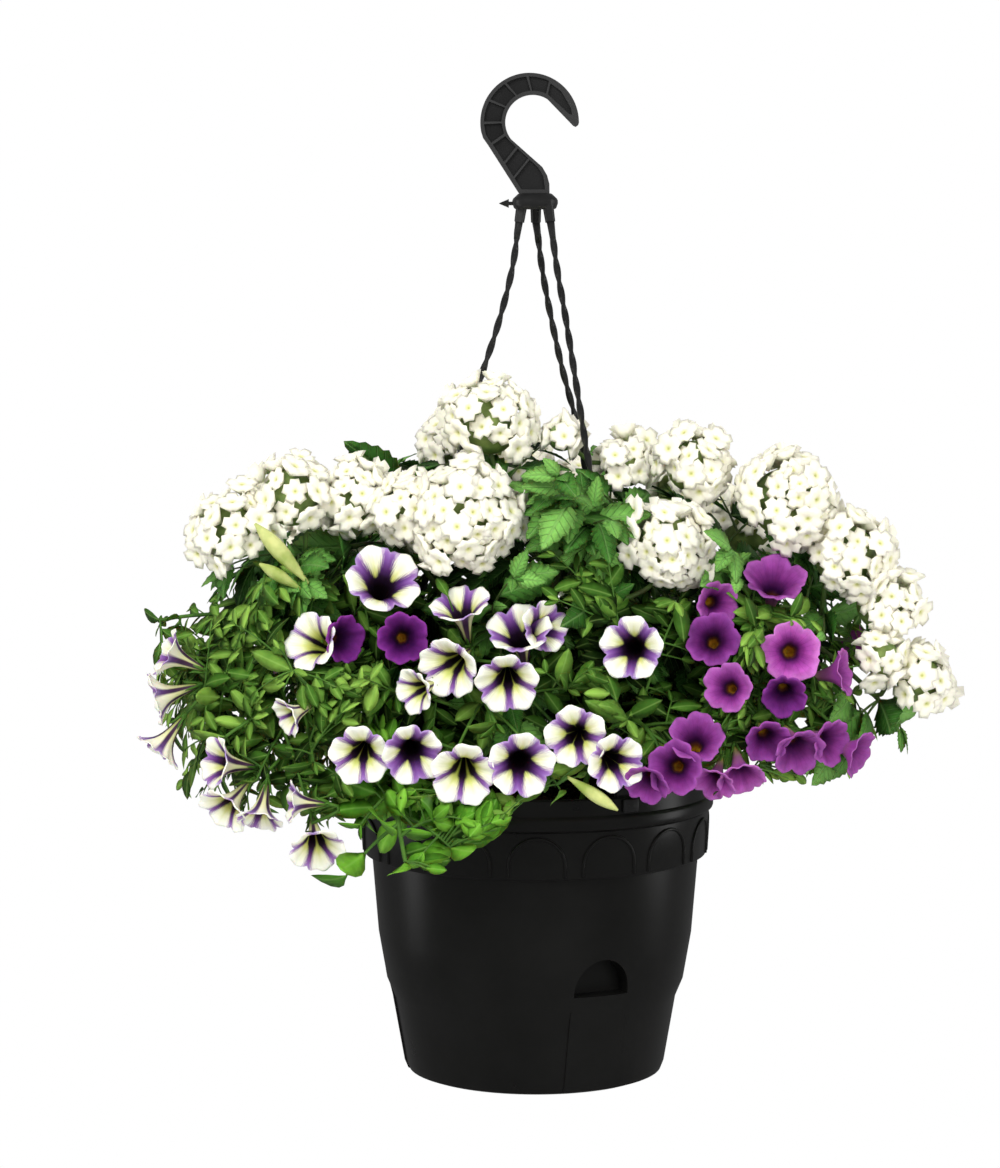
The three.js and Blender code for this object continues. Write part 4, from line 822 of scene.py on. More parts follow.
def violet_petal():
    """Velvety violet petal: dark throat round a yellow eye, fine darker veins, paler towards its rim."""
    made, tree, shader = finish_of(
        "violet_petal", 0.58, Subsurface_Weight=0.1, Subsurface_Scale=0.003, Specular_IOR_Level=0.22)
    from_seam, reach = surface_map(tree)
    bold = own_share(tree, "boldness")
    deep = add(tree, "ShaderNodeValToRGB", {"Fac": reach}, stops=[
        (0.2, "c89a2c"), (0.27, "6a3c18"), (0.35, "1c0424"), (0.54, "3a0c46"), (0.68, "5a1866"),
        (0.86, "722680"), (1.0, "883894")])
    light = add(tree, "ShaderNodeValToRGB", {"Fac": reach}, stops=[
        (0.2, "d8a830"), (0.28, "7c441c"), (0.37, "3a0c48"), (0.55, "983a96"), (0.72, "b957b4"),
        (1.0, "cc7cc8")])
    colour = add(tree, "ShaderNodeMix", {"Factor": bold, "A": deep, "B": light}, data_type="RGBA")
    turns = add(tree, "ShaderNodeMath", [from_seam, 2.5 * math.pi], operation="MULTIPLY")
    wave = add(tree, "ShaderNodeMath", [turns], operation="SINE")
    lines = narrow_line(tree, add(tree, "ShaderNodeMath", [wave], operation="ABSOLUTE"), 0.2)
    inner = add(tree, "ShaderNodeMapRange", {
        "Value": reach, "From Min": 1.02, "From Max": 0.5}, interpolation_type="SMOOTHSTEP")
    lines = add(tree, "ShaderNodeMath", [lines, inner], operation="MULTIPLY")
    faint = add(tree, "ShaderNodeMath", [lines, 0.45], operation="MULTIPLY")
    colour = add(tree, "ShaderNodeMix", {
        "Factor": faint, "A": colour, "B": linear("360748")}, data_type="RGBA")
    mottle = add(tree, "ShaderNodeValToRGB", {"Fac": unevenness(tree, 160, 4.0)}, stops=[
        (0.3, "d8d8d8"), (0.7, "ffffff")])
    colour = add(tree, "ShaderNodeMix", {
        "Factor": 1.0, "A": colour, "B": mottle}, data_type="RGBA", blend_type="MULTIPLY")
    sunken = add(tree, "ShaderNodeMath", [lines, -0.6], operation="MULTIPLY")
    height = add(tree, "ShaderNodeMath", [sunken, unevenness(tree, 500)], operation="ADD")
    bump = add(tree, "ShaderNodeBump", {"Height": height, "Strength": 0.3, "Distance": 0.4 * MM})
    feed(tree, shader, {"Base Color": colour, "Normal": bump})
    return made


def violet_back():
    """The outside of a violet trumpet: duller and greyer, and greenish at the foot of its tube."""
    made, tree, shader = finish_of(
        "violet_trumpet_back", 0.65, Subsurface_Weight=0.1, Subsurface_Scale=0.003)
    _, reach = surface_map(tree)
    feed(tree, shader, {"Base Color": add(tree, "ShaderNodeValToRGB", {"Fac": reach}, stops=[
        (0.05, "8f8f3c"), (0.3, "7a4a6a"), (0.6, "8c3a90"), (1.0, "9c469e")])})
    finely_grained(tree, shader, 600, 3.0, 0.2, 0.3)
    return made


def verbena_petal():
    """White petal: thin and a little creamy, round a yellow-green eye."""
    made, tree, shader = finish_of(
        "verbena_petal", 0.6, Subsurface_Weight=0.2, Subsurface_Scale=0.004,
        Subsurface_Radius=(0.8, 1.0, 0.6), Specular_IOR_Level=0.3)
    _, reach = surface_map(tree)
    petal = add(tree, "ShaderNodeMix", {
        "Factor": own_share(tree, "tint"), "A": linear("efecda"), "B": linear("ddd9be")}, data_type="RGBA")
    eye = add(tree, "ShaderNodeValToRGB", {"Fac": reach}, stops=[
        (0.0, "b4bf62"), (0.08, "dcdfa6"), (0.18, "f4f4dc"), (0.3, "ffffff")])
    feed(tree, shader, {"Base Color": add(tree, "ShaderNodeMix", {
        "Factor": 1.0, "A": petal, "B": eye}, data_type="RGBA", blend_type="MULTIPLY")})
    finely_grained(tree, shader, 500, 3.0, 0.15, 0.3)
    return made


POT_PLASTIC = polypropylene_black("glossy_black_polypropylene", ("0d0d0c", "151514"), 0.3, 900)
# The hanger's last colour is the painted highlight on its raised ribs
HANGER_PLASTIC = polypropylene_black("satin_black_polypropylene", ("151515", "242424"), 0.3, 1200, "303030")
PEAT = moist_peat()
PETUNIA_STEM = stem_green("petunia_stem", "507a2c", "365a1e")
VERBENA_STEM = stem_green("verbena_stem", "4d6a30", "3c4424")
LEAF_GREENS = {
    "petunia": soft_leaf("petunia_leaf", ("15270a", "406b21", "8ab34a"), "a2c46a"),
    "spoon": soft_leaf("spoon_leaf", ("1b360a", "4a8420", "7cb83a"), "9cca66"),
    "verbena": toothed_leaf("verbena_leaf", ("152c0d", "3d7229", "7cb556"), "9cc678"),
}
STRIPED_PETAL = striped_petal()
STRIPED_BACK = striped_back()
VIOLET_PETAL = violet_petal()
VIOLET_BACK = violet_back()
VERBENA_WHITE = verbena_petal()
VERBENA_HEART = stem_green("verbena_head_heart", "93a85e", "557036")
CLOSED_FLOWER = stem_green("closed_flower", "c9cd84", "8fa34c")


# Solids and lines

def tube_faces(rows, sides):
    """Faces round a tube of so many rings of points, with both its ends closed."""
    faces = [list(range(sides))[::-1]]
    for i in range(rows - 1):
        for j in range(sides):
            k = (j + 1) % sides
            faces.append([i * sides + j, i * sides + k, (i + 1) * sides + k, (i + 1) * sides + j])
    return [*faces, list(range((rows - 1) * sides, rows * sides))]


def cup_faces(rows, sides):
    """Faces round a cup: its foot is point 0, and rings of points open out from it."""
    faces = [[0, 1 + j, 1 + (j + 1) % sides] for j in range(sides)]
    for i in range(rows - 1):
        for j in range(sides):
            k = (j + 1) % sides
            low, high = 1 + i * sides, 1 + (i + 1) * sides
            faces.append([low + j, high + j, high + k, low + k])
    return faces


def closed_solid(name, points, faces, smooth=True):
    """A closed solid whose faces all point outwards."""
    made = object_of(name, mesh_of(name, points, faces, smooth))
    with opened(made) as work:
        bmesh.ops.recalc_face_normals(work, faces=work.faces)
    return made


def slab(name, near, far):
    """A flat solid between two outlines with as many points."""
    n = len(near)
    faces = [list(range(n)), list(range(2 * n - 1, n - 1, -1))]
    faces += [[j, n + j, n + (j + 1) % n, (j + 1) % n] for j in range(n)]
    return closed_solid(name, near + far, faces, smooth=False)


def lathe(name, outline, sides=POT_SIDES):
    """Turns an outline round the height axis, closed at each end where it meets the axis."""
    points, faces, rings = [], [], []
    for r, z in outline:
        if r == 0:
            rings.append([len(points)] * sides)
            points.append((0, 0, z))
        else:
            rings.append(list(range(len(points), len(points) + sides)))
            angles = np.arange(sides) * math.tau / sides
            points.extend(zip(r * np.cos(angles), r * np.sin(angles), np.full(sides, z)))
    for low, high in zip(rings, rings[1:]):
        for j in range(sides):
            k = (j + 1) % sides
            corners = list(dict.fromkeys((low[j], low[k], high[k], high[j])))
            faces.append(corners)
    return object_of(name, mesh_of(name, points, faces))


def prism(name, outline, near, far, azimuth):
    """A flat shape across and up, pushed outwards from the axis at an azimuth counted from the front."""
    a = math.radians(azimuth)
    out = np.array([math.sin(a), -math.cos(a), 0])
    across = np.array([math.cos(a), math.sin(a), 0])
    up = np.array([0, 0, 1.0])
    return slab(name, *([out * r + across * x + up * z for x, z in outline] for r in (near, far)))


def plate(name, outline, low, high):
    """A flat shape across and up, with its faces at two depths."""
    return slab(name, *([(x, y, z) for x, z in outline] for y in (low, high)))


def rod(name, start, end, first_radius, last_radius, sides=24):
    """A round rod or cone between two points."""
    start, end = np.array(start, float), np.array(end, float)
    u, v = square_to(unit(end - start))
    points = [place + radius * (math.cos(t) * u + math.sin(t) * v)
              for place, radius in ((start, first_radius), (end, last_radius))
              for t in np.arange(sides) * math.tau / sides]
    return closed_solid(name, points, tube_faces(2, sides))


def combine(obj, other, operation):
    """Joins, cuts or keeps the overlap of two closed solids, and drops the second."""
    modifier = obj.modifiers.new(operation, "BOOLEAN")
    modifier.operation = operation
    modifier.object = other
    modifier.solver = "EXACT"
    baked(obj)
    bpy.data.objects.remove(other)
    return obj


def path_object(name, points):
    """A path of edges through points, in millimetres."""
    mesh = bpy.data.meshes.new(name)
    edges = [(i, i + 1) for i in range(len(points) - 1)]
    mesh.from_pydata([tuple(np.array(p, float) * MM) for p in points], edges, [])
    return object_of(name, mesh)


def catmull_rom(points, steps):
    """A smooth line through points, with as many steps between each two."""
    p = [np.array(q, float) for q in points]
    p = [2 * p[0] - p[1], *p, 2 * p[-1] - p[-2]]
    line = []
    for a, b, c, d in zip(p, p[1:], p[2:], p[3:]):
        spacing = [max(np.linalg.norm(n - m), 1e-6) ** 0.5 for m, n in ((a, b), (b, c), (c, d))]
        first = (b - a) / spacing[0] - (c - a) / (spacing[0] + spacing[1]) + (c - b) / spacing[1]
        second = (c - b) / spacing[1] - (d - b) / (spacing[1] + spacing[2]) + (d - c) / spacing[2]
        first, second = first * spacing[1], second * spacing[1]
        for i in range(steps):
            t = i / steps
            line.append((2 * t**3 - 3 * t**2 + 1) * b + (t**3 - 2 * t**2 + t) * first
                        + (3 * t**2 - 2 * t**3) * c + (t**3 - t**2) * second)
    return [*line, p[-2]]


def box_outline(width, height, middle):
    """A rectangle about a height."""
    w, h = width / 2, height / 2
    return [(-w, middle - h), (w, middle - h), (w, middle + h), (-w, middle + h)]


def round_topped(width, height, bottom, square, steps=24):
    """An arch: straight sides to a height, then half an ellipse."""
    top = [(width / 2 * math.cos(t), bottom + square + (height - square) * math.sin(t))
           for t in np.linspace(0, math.pi, steps + 1)]
    return [(-width / 2, bottom), (width / 2, bottom), *top]


# The pot and its soil

def mouth_outline(extra):
    """A watering mouth's outline, larger all round by an extra width."""
    return round_topped(MOUTH["width"] + 2 * extra, MOUTH["height"] + 2 * extra, MOUTH["bottom"] - extra, 3)


def mouth_azimuths():
    """Where the mouths stand round the pot, in degrees to the right of the front."""
    return [MOUTH["azimuth"] + 360 * i / MOUTHS for i in range(MOUTHS)]


def strand_azimuth(route):
    """Where a strand meets the rim, in degrees to the right of the front."""
    x, y = route[-1][:2]
    return math.degrees(math.atan2(x, -y))


def arch_rib():
    """One arch on the band: a rounded rib that follows the band's cone."""
    width, height, rib = ARCH["width"], ARCH["height"], ARCH["rib"]
    half = round_topped(width - rib, height - rib / 2, ARCH["bottom"], height - width / 2, 20)
    centre, outwards = [], []
    for x, z in [*half[1:], half[0]]:
        share = (z - BAND["bottom"]) / (BAND["top"] - BAND["bottom"])
        radius = BAND["low_radius"] + share * (BAND["high_radius"] - BAND["low_radius"])
        out = np.array([math.sin(x / radius), -math.cos(x / radius), 0])
        centre.append(radius * out + (0, 0, z))
        outwards.append(out)
    points, sides = [], 8
    for i, (place, out) in enumerate(zip(centre, outwards)):
        side = np.cross(unit(centre[min(i + 1, len(centre) - 1)] - centre[max(i - 1, 0)]), out)
        for t in np.arange(sides) * math.tau / sides:
            points.append(place + rib * (0.8 * math.cos(t) * side + math.sin(t) * out))
    return closed_solid("arch_rib", points, tube_faces(len(centre), sides))


def make_pot():
    """One moulding: stepped rim, band with arches, recessed foot with a plain panel under each mouth."""
    pot = lathe("pot_shell", [*POT_OUTSIDE, *POT_INSIDE])
    for azimuth in mouth_azimuths():
        panel = lathe("panel", [(0, 0.4), *PANEL["outside"], (0, PANEL["outside"][-1][1])])
        plan = prism("plan", box_outline(PANEL["width"], 100, 22), INSIDE_FOOT, CLEAR_OF_POT, azimuth)
        combine(panel, plan, "INTERSECT")
        combine(panel, lathe("within_wall", WITHIN_WALL_AT_PANELS), "DIFFERENCE")
        combine(pot, panel, "UNION")
        boss = prism(
            "boss", mouth_outline(MOUTH["wall"]), MOUTH["back"] - MOUTH["wall"], CLEAR_OF_POT, azimuth)
        combine(boss, lathe("within_wall", WITHIN_WALL_AT_MOUTHS), "INTERSECT")
        combine(pot, boss, "UNION")
        combine(pot, prism("mouth", mouth_outline(0), MOUTH["back"], CLEAR_OF_POT, azimuth), "DIFFERENCE")
    hole = box_outline(STRAND_HOLE["width"], STRAND_HOLE["height"], STRAND_HOLE["at"])
    for route in STRAND_ROUTES.values():
        combine(pot, prism("hole", hole, INSIDE_RIM, CLEAR_OF_POT, strand_azimuth(route)), "DIFFERENCE")
    given_finish(pot, POT_PLASTIC)
    smoothed(pot, angle=32)
    ribs = grow(arch_rib(), RING_TREE, {"Count": ARCHES, "Finish": POT_PLASTIC})
    finished(joined("pot_shell", [pot, ribs]), "pot")


def make_soil():
    """The soil that fills the pot, domed and lumpy, strewn with crumbs of peat and bark."""
    edge, edge_top = SOIL_EDGE
    crown_top = SOIL_TOP + SOIL_DOME
    walls = [(r - SOIL_GAP, z + SOIL_GAP) for r, z in ((98.2, 54), (103.6, 67), (113.8, 155))]
    crown = [(r, edge_top + (crown_top - edge_top) * (1 - (r / edge) ** 2)) for r in range(114, 0, -6)]
    soil = lathe("potting_soil", [
        (0, FLOOR_TOP + 1), (86, FLOOR_TOP + 1), *walls, (edge, edge_top), *crown, (0, crown_top)], sides=96)
    lump_width, lump_height = 22 * MM, 2.2 * MM
    for v in soil.data.vertices:
        if v.co.z > (edge_top - 1) * MM:
            v.co.z += lump_height * noise.fractal(v.co / lump_width, 1.0, 2.0, 4)
    reach = MOUTH["wall"] + SOIL_GAP
    for azimuth in mouth_azimuths():
        pocket = prism("pocket", mouth_outline(reach), MOUTH["back"] - reach, CLEAR_OF_POT, azimuth)
        combine(soil, pocket, "DIFFERENCE")
    given_finish(soil, PEAT)
    bpy.ops.mesh.primitive_ico_sphere_add(subdivisions=1, radius=CRUMB["radius"] * MM)
    crumb = bpy.context.active_object
    top = object_of("soil_top", soil.data.copy())
    with opened(top) as work:
        low = [f for f in work.faces if f.calc_center_median().z < (edge_top - 1) * MM]
        bmesh.ops.delete(work, geom=low, context="FACES")
    grow(top, CRUMB_TREE, {
        "Crumb": crumb, "Spacing": CRUMB["spacing"] * MM, "Density": CRUMB["to_a_square_metre"], "Seed": 3,
        "Finish": PEAT})
    bpy.data.objects.remove(crumb)
    drop_sheet(top)
    finished(joined("potting_soil", [soil, top]), "soil")


def drop_sheet(obj):
    """Keeps the closed crumbs of a strewn sheet, and drops the sheet itself."""
    with opened(obj) as work:
        stack = [v for v in work.verts if any(len(e.link_faces) == 1 for e in v.link_edges)]
        sheet = {v.index for v in stack}
        while stack:
            for e in stack.pop().link_edges:
                for v in e.verts:
                    if v.index not in sheet:
                        sheet.add(v.index)
                        stack.append(v)
        bmesh.ops.delete(work, geom=[v for v in work.verts if v.index in sheet], context="VERTS")


# The hanger

def arc(circle, start, end, steps):
    """Points on a circle (across, up, radius) from one angle to another, in degrees."""
    x, z, r = circle
    return [(x + r * math.cos(math.radians(t)), z + r * math.sin(math.radians(t)))
            for t in np.linspace(start, end, steps)]


def hook_outline():
    """The hook's outline: up the right of its shank, round the bend to the tip, and back outside."""
    right = [*HOOK["shank_right"], *arc(HOOK["inner"], *HOOK["inner_arc"], 48)]
    return [*right, *HOOK["tip"], *arc(HOOK["outer"], *HOOK["outer_arc"], 60), *HOOK["shank_left"]]


def hook_recesses():
    """Outlines of the recesses between the ribs: round the bend, and in the tip and shank."""
    (ox, oz, outer), (ix, iz, inner) = HOOK["outer"], HOOK["inner"]
    border, bend = HOOK["border"], BEND_RECESSES
    rings = []
    for i in range(bend["count"]):
        first = bend["first"] + bend["pitch"] * i
        far = arc((ox, oz, outer - border), first, first + bend["length"], 9)
        near = arc((ix, iz, inner + border), first + bend["length"], first, 9)
        rings.append([*far, *near])
    return [*rings, *HOOK_PANELS]


def make_hook():
    """Hook and collar in one moulding, with ribs left standing between its recesses."""
    half, web = HOOK["thickness"] / 2, HOOK["web"] / 2
    hook = plate("hook", hook_outline(), -half, half)
    for outline in hook_recesses():
        for low, high in ((-half - 1, -web), (web, half + 1)):
            combine(hook, plate("recess", outline, low, high), "DIFFERENCE")
    collar = lathe("collar", COLLAR_EDGE, sides=64)
    size = (COLLAR["width"] / 2, COLLAR["depth"] / 2, COLLAR["height"] / 2)
    place = Matrix.Translation(Vector((COLLAR["x"], 0, COLLAR["z"])) * MM)
    collar.data.transform(place @ Matrix.Diagonal((*size, 1)))
    combine(hook, collar, "UNION")
    neck, head = ([(x, 0, ARROW["z"]) for x in ARROW[part]] for part in ("neck", "head"))
    combine(hook, rod("neck", *neck, ARROW["neck_radius"], ARROW["neck_radius"]), "UNION")
    combine(hook, rod("head", *head, ARROW["head_radius"], ARROW["tip_radius"], sides=4), "UNION")
    strand_radius = STRAND["thickness"] / 2
    inner_radius, outer_radius = (strand_radius + SOCKET[wall] for wall in ("inner_wall", "outer_wall"))
    for x, y, top in (route[0] for route in STRAND_ROUTES.values()):
        inner = (COLLAR["x"] + 0.8 * (x - COLLAR["x"]), 0.8 * y, COLLAR["z"])
        end = (x, y, top - SOCKET["end"])
        combine(hook, rod("socket", inner, end, inner_radius, outer_radius), "UNION")
    bore_radius = strand_radius + SOCKET["play"]
    for x, y, top in (route[0] for route in STRAND_ROUTES.values()):
        bore = rod("bore", (x, y, top + 1), (x, y, top - SOCKET["depth"]), bore_radius, bore_radius)
        combine(hook, bore, "DIFFERENCE")
    soften(hook, width=0.6, angle=40)
    finished(given_finish(hook, HANGER_PLASTIC), "hanger_hook")


def strand_section():
    """Two lobes side by side, as a closed ring of edges."""
    steps = 20
    ring = []
    for t in np.arange(steps) * math.tau / steps:
        c, s = math.cos(t), math.sin(t)
        across = STRAND["apart"] * math.copysign(abs(c) ** 0.8, c) + STRAND["lobe"] * c
        ring.append((across * MM, STRAND["lobe"] * s * (0.72 + 0.28 * abs(c)) * MM, 0))
    mesh = bpy.data.meshes.new("strand_section")
    mesh.from_pydata(ring, [(i, (i + 1) % steps) for i in range(steps)], [])
    return object_of("strand_section", mesh)


def make_strand(side, route, section):
    """A twisted strand with its sleeve, and the foot that clips it in the rim: pin, stop and button."""
    line = catmull_rom(route, 12)
    strand = path_object(f"strand_{side}", line)
    grow(strand, STRAND_TREE, {
        "Section": section, "Pitch": STRAND["pitch"] * MM, "Step": STRAND["step"] * MM,
        "Finish": HANGER_PLASTIC})
    sleeve = rod("sleeve", line[0] - (0, 0, 1.5), line[5], *SLEEVE_RADII)
    pieces = [strand, given_finish(sleeve, HANGER_PLASTIC)]
    reach = math.hypot(*route[-1][:2])
    hole = STRAND_HOLE["at"]
    for part, middle, near, far in (
            ("pin", hole, reach - 2.5, RIM_RADIUS + 3), ("stop", hole + 4, reach - 2.5, reach + 2),
            ("button", hole, RIM_RADIUS + 0.5, RIM_RADIUS + 2.9)):
        block = prism(part, box_outline(*STRAND_FOOT[part], middle), near, far, strand_azimuth(route))
        soften(given_finish(block, HANGER_PLASTIC), width=0.8, angle=30)
        pieces.append(block)
    finished(joined(f"strand_{side}", pieces), f"hanger_strand_{side}")


# Meshes with a map

class Patchwork:
    """Gathers points and faces, with a place on the map and a number for every point."""

    def __init__(self):
        self.points, self.faces, self.maps, self.numbers = [], [], [], []

    def put(self, points, faces, maps=None, number=0.0):
        """Adds points and faces that count from the first of these points."""
        start = len(self.points)
        self.points.extend(np.asarray(points, float).tolist())
        self.faces.extend([start + i for i in face] for face in faces)
        self.maps.extend(np.zeros((len(points), 2)).tolist() if maps is None else np.asarray(maps).tolist())
        self.numbers.extend([number] * len(points))

    def object(self, name, material, number_name):
        """All that was put in, as one piece."""
        mesh = mesh_of(name, self.points, self.faces)
        layer = mesh.uv_layers.new(name="UVMap")
        corners = np.empty(len(mesh.loops), np.int32)
        mesh.loops.foreach_get("vertex_index", corners)
        layer.uv.foreach_set("vector", np.array(self.maps, np.float32)[corners].ravel())
        mesh.attributes.new(number_name, "FLOAT", "POINT").data.foreach_set("value", self.numbers)
        mesh.materials.append(material)
        return object_of(name, mesh)


def tube(path, radii, sides=6):
    """A round tube along a path, closed at both ends: its points and faces."""
    path = np.asarray(path, float)
    tangents = np.gradient(path, axis=0)
    u, _ = square_to(unit(tangents[0]))
    points = []
    for place, tangent, radius in zip(path, tangents, radii):
        tangent = unit(tangent)
        u = unit(u - tangent * np.dot(u, tangent))
        v = np.cross(tangent, u)
        for t in np.arange(sides) * math.tau / sides:
            points.append(place + radius * (math.cos(t) * u + math.sin(t) * v))
    return points, tube_faces(len(path), sides)


# Trumpet flowers

TUBE_LENGTH = 1.8
# From the foot of the tube to the rim: place on the map, reach and depth as shares of the radius
TRUMPET = [
    (0.0, 0.07, -1.55), (0.1, 0.1, -1.4), (0.2, 0.14, -1.2), (0.3, 0.19, -0.96), (0.38, 0.25, -0.74),
    (0.46, 0.34, -0.53), (0.56, 0.47, -0.35), (0.68, 0.63, -0.21), (0.8, 0.79, -0.1), (0.91, 0.92, -0.03),
    (1.0, 1.0, -0.03),
]
LOBES = 5
PETAL_SIDES = 60
PETAL_THICKNESS = 0.5
# How much the rim of a trumpet waves, as shares of its radius
RIM_WAVES = {
    "outline": 0.03, "lobe": 0.1, "lobe_lift": 0.05, "seam_fold": 0.035, "broad": 0.04, "fine": 0.024}


def trumpet(petals, greens, flower, random, notch, bold):
    """A trumpet flower with five lobes, with its green calyx behind it."""
    x, y, z, width, turn, tilt = flower
    r = width / 2
    axis = facing(turn, tilt)
    u, v = square_to(axis)
    roll = math.tau * random()
    waves = np.array([RIM_WAVES["lobe"] * (random() - 0.5) for _ in range(LOBES)])
    # Its place makes its seed, so a flower's own shape doesn't hang on the others
    own = np.random.default_rng(int(abs(x) * 7 + abs(y) * 3 + z))
    ruffle = own.uniform(0, math.tau, 3)
    theta = np.arange(PETAL_SIDES) * math.tau / PETAL_SIDES
    beat = np.abs(np.sin(LOBES / 2 * theta))
    lobe = (theta / math.tau * LOBES).astype(int) % LOBES
    from_seam = 1 - np.abs((theta / math.tau * LOBES) % 1 - 0.5) * 2
    size = 1 + own.uniform(-0.05, 0.04, LOBES)[lobe] * from_seam
    points, maps = [(x, y, z) + axis * r * TRUMPET[0][2] * 1.02], [(0.5, 0)]
    for place, reach, depth in TRUMPET:
        open_part = smooth_step(place, 0.35, 1.0)
        outline = 1 - open_part * (1 - size * (1 - notch * (1 - beat ** 0.5)))
        outline = outline * (1 + RIM_WAVES["outline"] * open_part * np.sin(11 * theta + ruffle[0]))
        level = depth + open_part * (
            waves[lobe] * beat + RIM_WAVES["lobe_lift"] * beat ** 1.2
            - RIM_WAVES["seam_fold"] * np.exp(-(from_seam / 0.16) ** 2)
            + RIM_WAVES["broad"] * np.sin(7 * theta + ruffle[1])
            + RIM_WAVES["fine"] * np.sin(13 * theta + ruffle[2]))
        folds = 1 + 0.12 * (1 - open_part) * (beat - 0.5)
        for j in range(PETAL_SIDES):
            a = theta[j] + roll
            way = math.cos(a) * u + math.sin(a) * v
            points.append((x, y, z) + r * (reach * outline[j] * folds[j] * way + level[j] * axis))
            maps.append((from_seam[j], place))
    petals.put(points, cup_faces(len(TRUMPET), PETAL_SIDES), maps, bold)
    calyx(greens, np.array([x, y, z]) - axis * TUBE_LENGTH * r, axis, u, v, r)


def calyx(greens, foot, axis, u, v, r):
    """A small green cup and five narrow sepals round the foot of the tube."""
    cup = [foot - axis * 0.06 * r, foot, foot + axis * 0.1 * r, foot + axis * 0.2 * r]
    greens.put(*tube(cup, [0.05 * r, 0.1 * r, 0.12 * r, 0.1 * r], 8))
    for i in range(LOBES):
        a = math.tau * i / LOBES
        way = math.cos(a) * u + math.sin(a) * v
        path = [foot + r * (out * way + up * axis) for out, up in (
            (0.09, 0.05), (0.17, 0.3), (0.24, 0.5), (0.36, 0.66))]
        greens.put(*tube(path, [0.035 * r, 0.055 * r, 0.045 * r, 0.012 * r], 4))


def flower_back(flower):
    """Where a flower's stalk ends, 2 mm inside the foot of its tube."""
    x, y, z, width, turn, tilt = flower
    return np.array([x, y, z]) + facing(turn, tilt) * (2 - TUBE_LENGTH * width / 2)


# How far behind its flowers' backs the stalks of a spray meet
SPRAY_DEPTH = 9


def joint_of(backs):
    """Where the stalks of a spray come together."""
    joint = np.mean(backs, axis=0)
    if len(backs) > 1:
        joint = joint + unit(np.array(HEAD_CENTRE) - joint) * SPRAY_DEPTH
    return joint


def make_flowers(sprays, seed, notch, petal, back, shades, boldness):
    """Every spray of one kind of trumpet flower, each as one piece."""
    random = seeded(seed)
    own = np.random.default_rng(seed)
    for name, members in sprays.items():
        petals, greens = Patchwork(), Patchwork()
        for flower in members:
            trumpet(petals, greens, flower, random, notch, boldness.get(flower[:3], own.uniform(*shades)))
        backs = [flower_back(flower) for flower in members]
        joint = joint_of(backs)
        if len(backs) > 1:
            for end in backs:
                greens.put(*tube([joint, (joint + end) / 2, end], [1.3, 1.1, 1.2]))
        piece = petals.object(name, petal, "boldness")
        piece.data.materials.append(back)
        shell = piece.modifiers.new("petal thickness", "SOLIDIFY")
        shell.thickness = PETAL_THICKNESS * MM
        shell.offset = -1
        shell.material_offset = 1
        baked(piece)
        green = greens.object(name + "_green", PETUNIA_STEM, "boldness")
        finished(joined(name, [piece, green]), name)


# Verbena heads

FLORET_RADIUS = 11
HEAD_COVER = 1.4
CORE_SHARE = 0.64
# How many florets a head has for each time that their own disc fits in the head's
FLORETS_IN_LOOSE_HEAD = 3.4
FLORETS_IN_FULL_HEAD = 4.3
LOOSE_HEADS = (
    "verbena_heads_left", "verbena_head_top", "verbena_heads_front_middle", "verbena_heads_far_right")
# Rings of a floret: share of its radius and depth. Its petals: place and reach. Their ripple, place by place
FLORET_RINGS = [(0.15, -0.1), (0.62, 0.03), (1.0, -0.04)]
FLORET_PETAL = [(0.0, 0.68), (18.0, 0.98), (36.0, 0.9), (54.0, 0.98)]
FLORET_RIPPLE = (-0.05, 0.02, 0.07, 0.02)
# A head faces outwards from the plants by this share, and this much to the front and up
HEAD_OUTWARDS = 0.55
HEAD_LIGHT_WAY = (0, -0.12, 0.35)


def make_floret():
    """A five-petalled floret of unit radius, each petal notched, with a short tube behind it."""
    angles = [math.radians(360 / LOBES * i + a) for i in range(LOBES) for a, _ in FLORET_PETAL]
    n = len(angles)
    points, maps = [(0, 0, -0.22)], [(0.5, 0.0)]
    for share, depth in FLORET_RINGS:
        for j, a in enumerate(angles):
            step = j % len(FLORET_PETAL)
            r = share * (1 - (1 - FLORET_PETAL[step][1]) * smooth_step(share, 0.1, 1.0) / 0.98)
            points.append((r * math.cos(a), r * math.sin(a), depth + FLORET_RIPPLE[step] * share))
            maps.append((step / len(FLORET_PETAL), share))
    points.append((0, 0, -0.9))
    maps.append((0.5, 0.15))
    last = 1 + (len(FLORET_RINGS) - 1) * n
    back = [[last + j, len(points) - 1, last + (j + 1) % n] for j in range(n)]
    floret = Patchwork()
    floret.put(np.array(points) / MM, cup_faces(len(FLORET_RINGS), n) + back, maps)
    return floret.object("floret", VERBENA_WHITE, "tint")


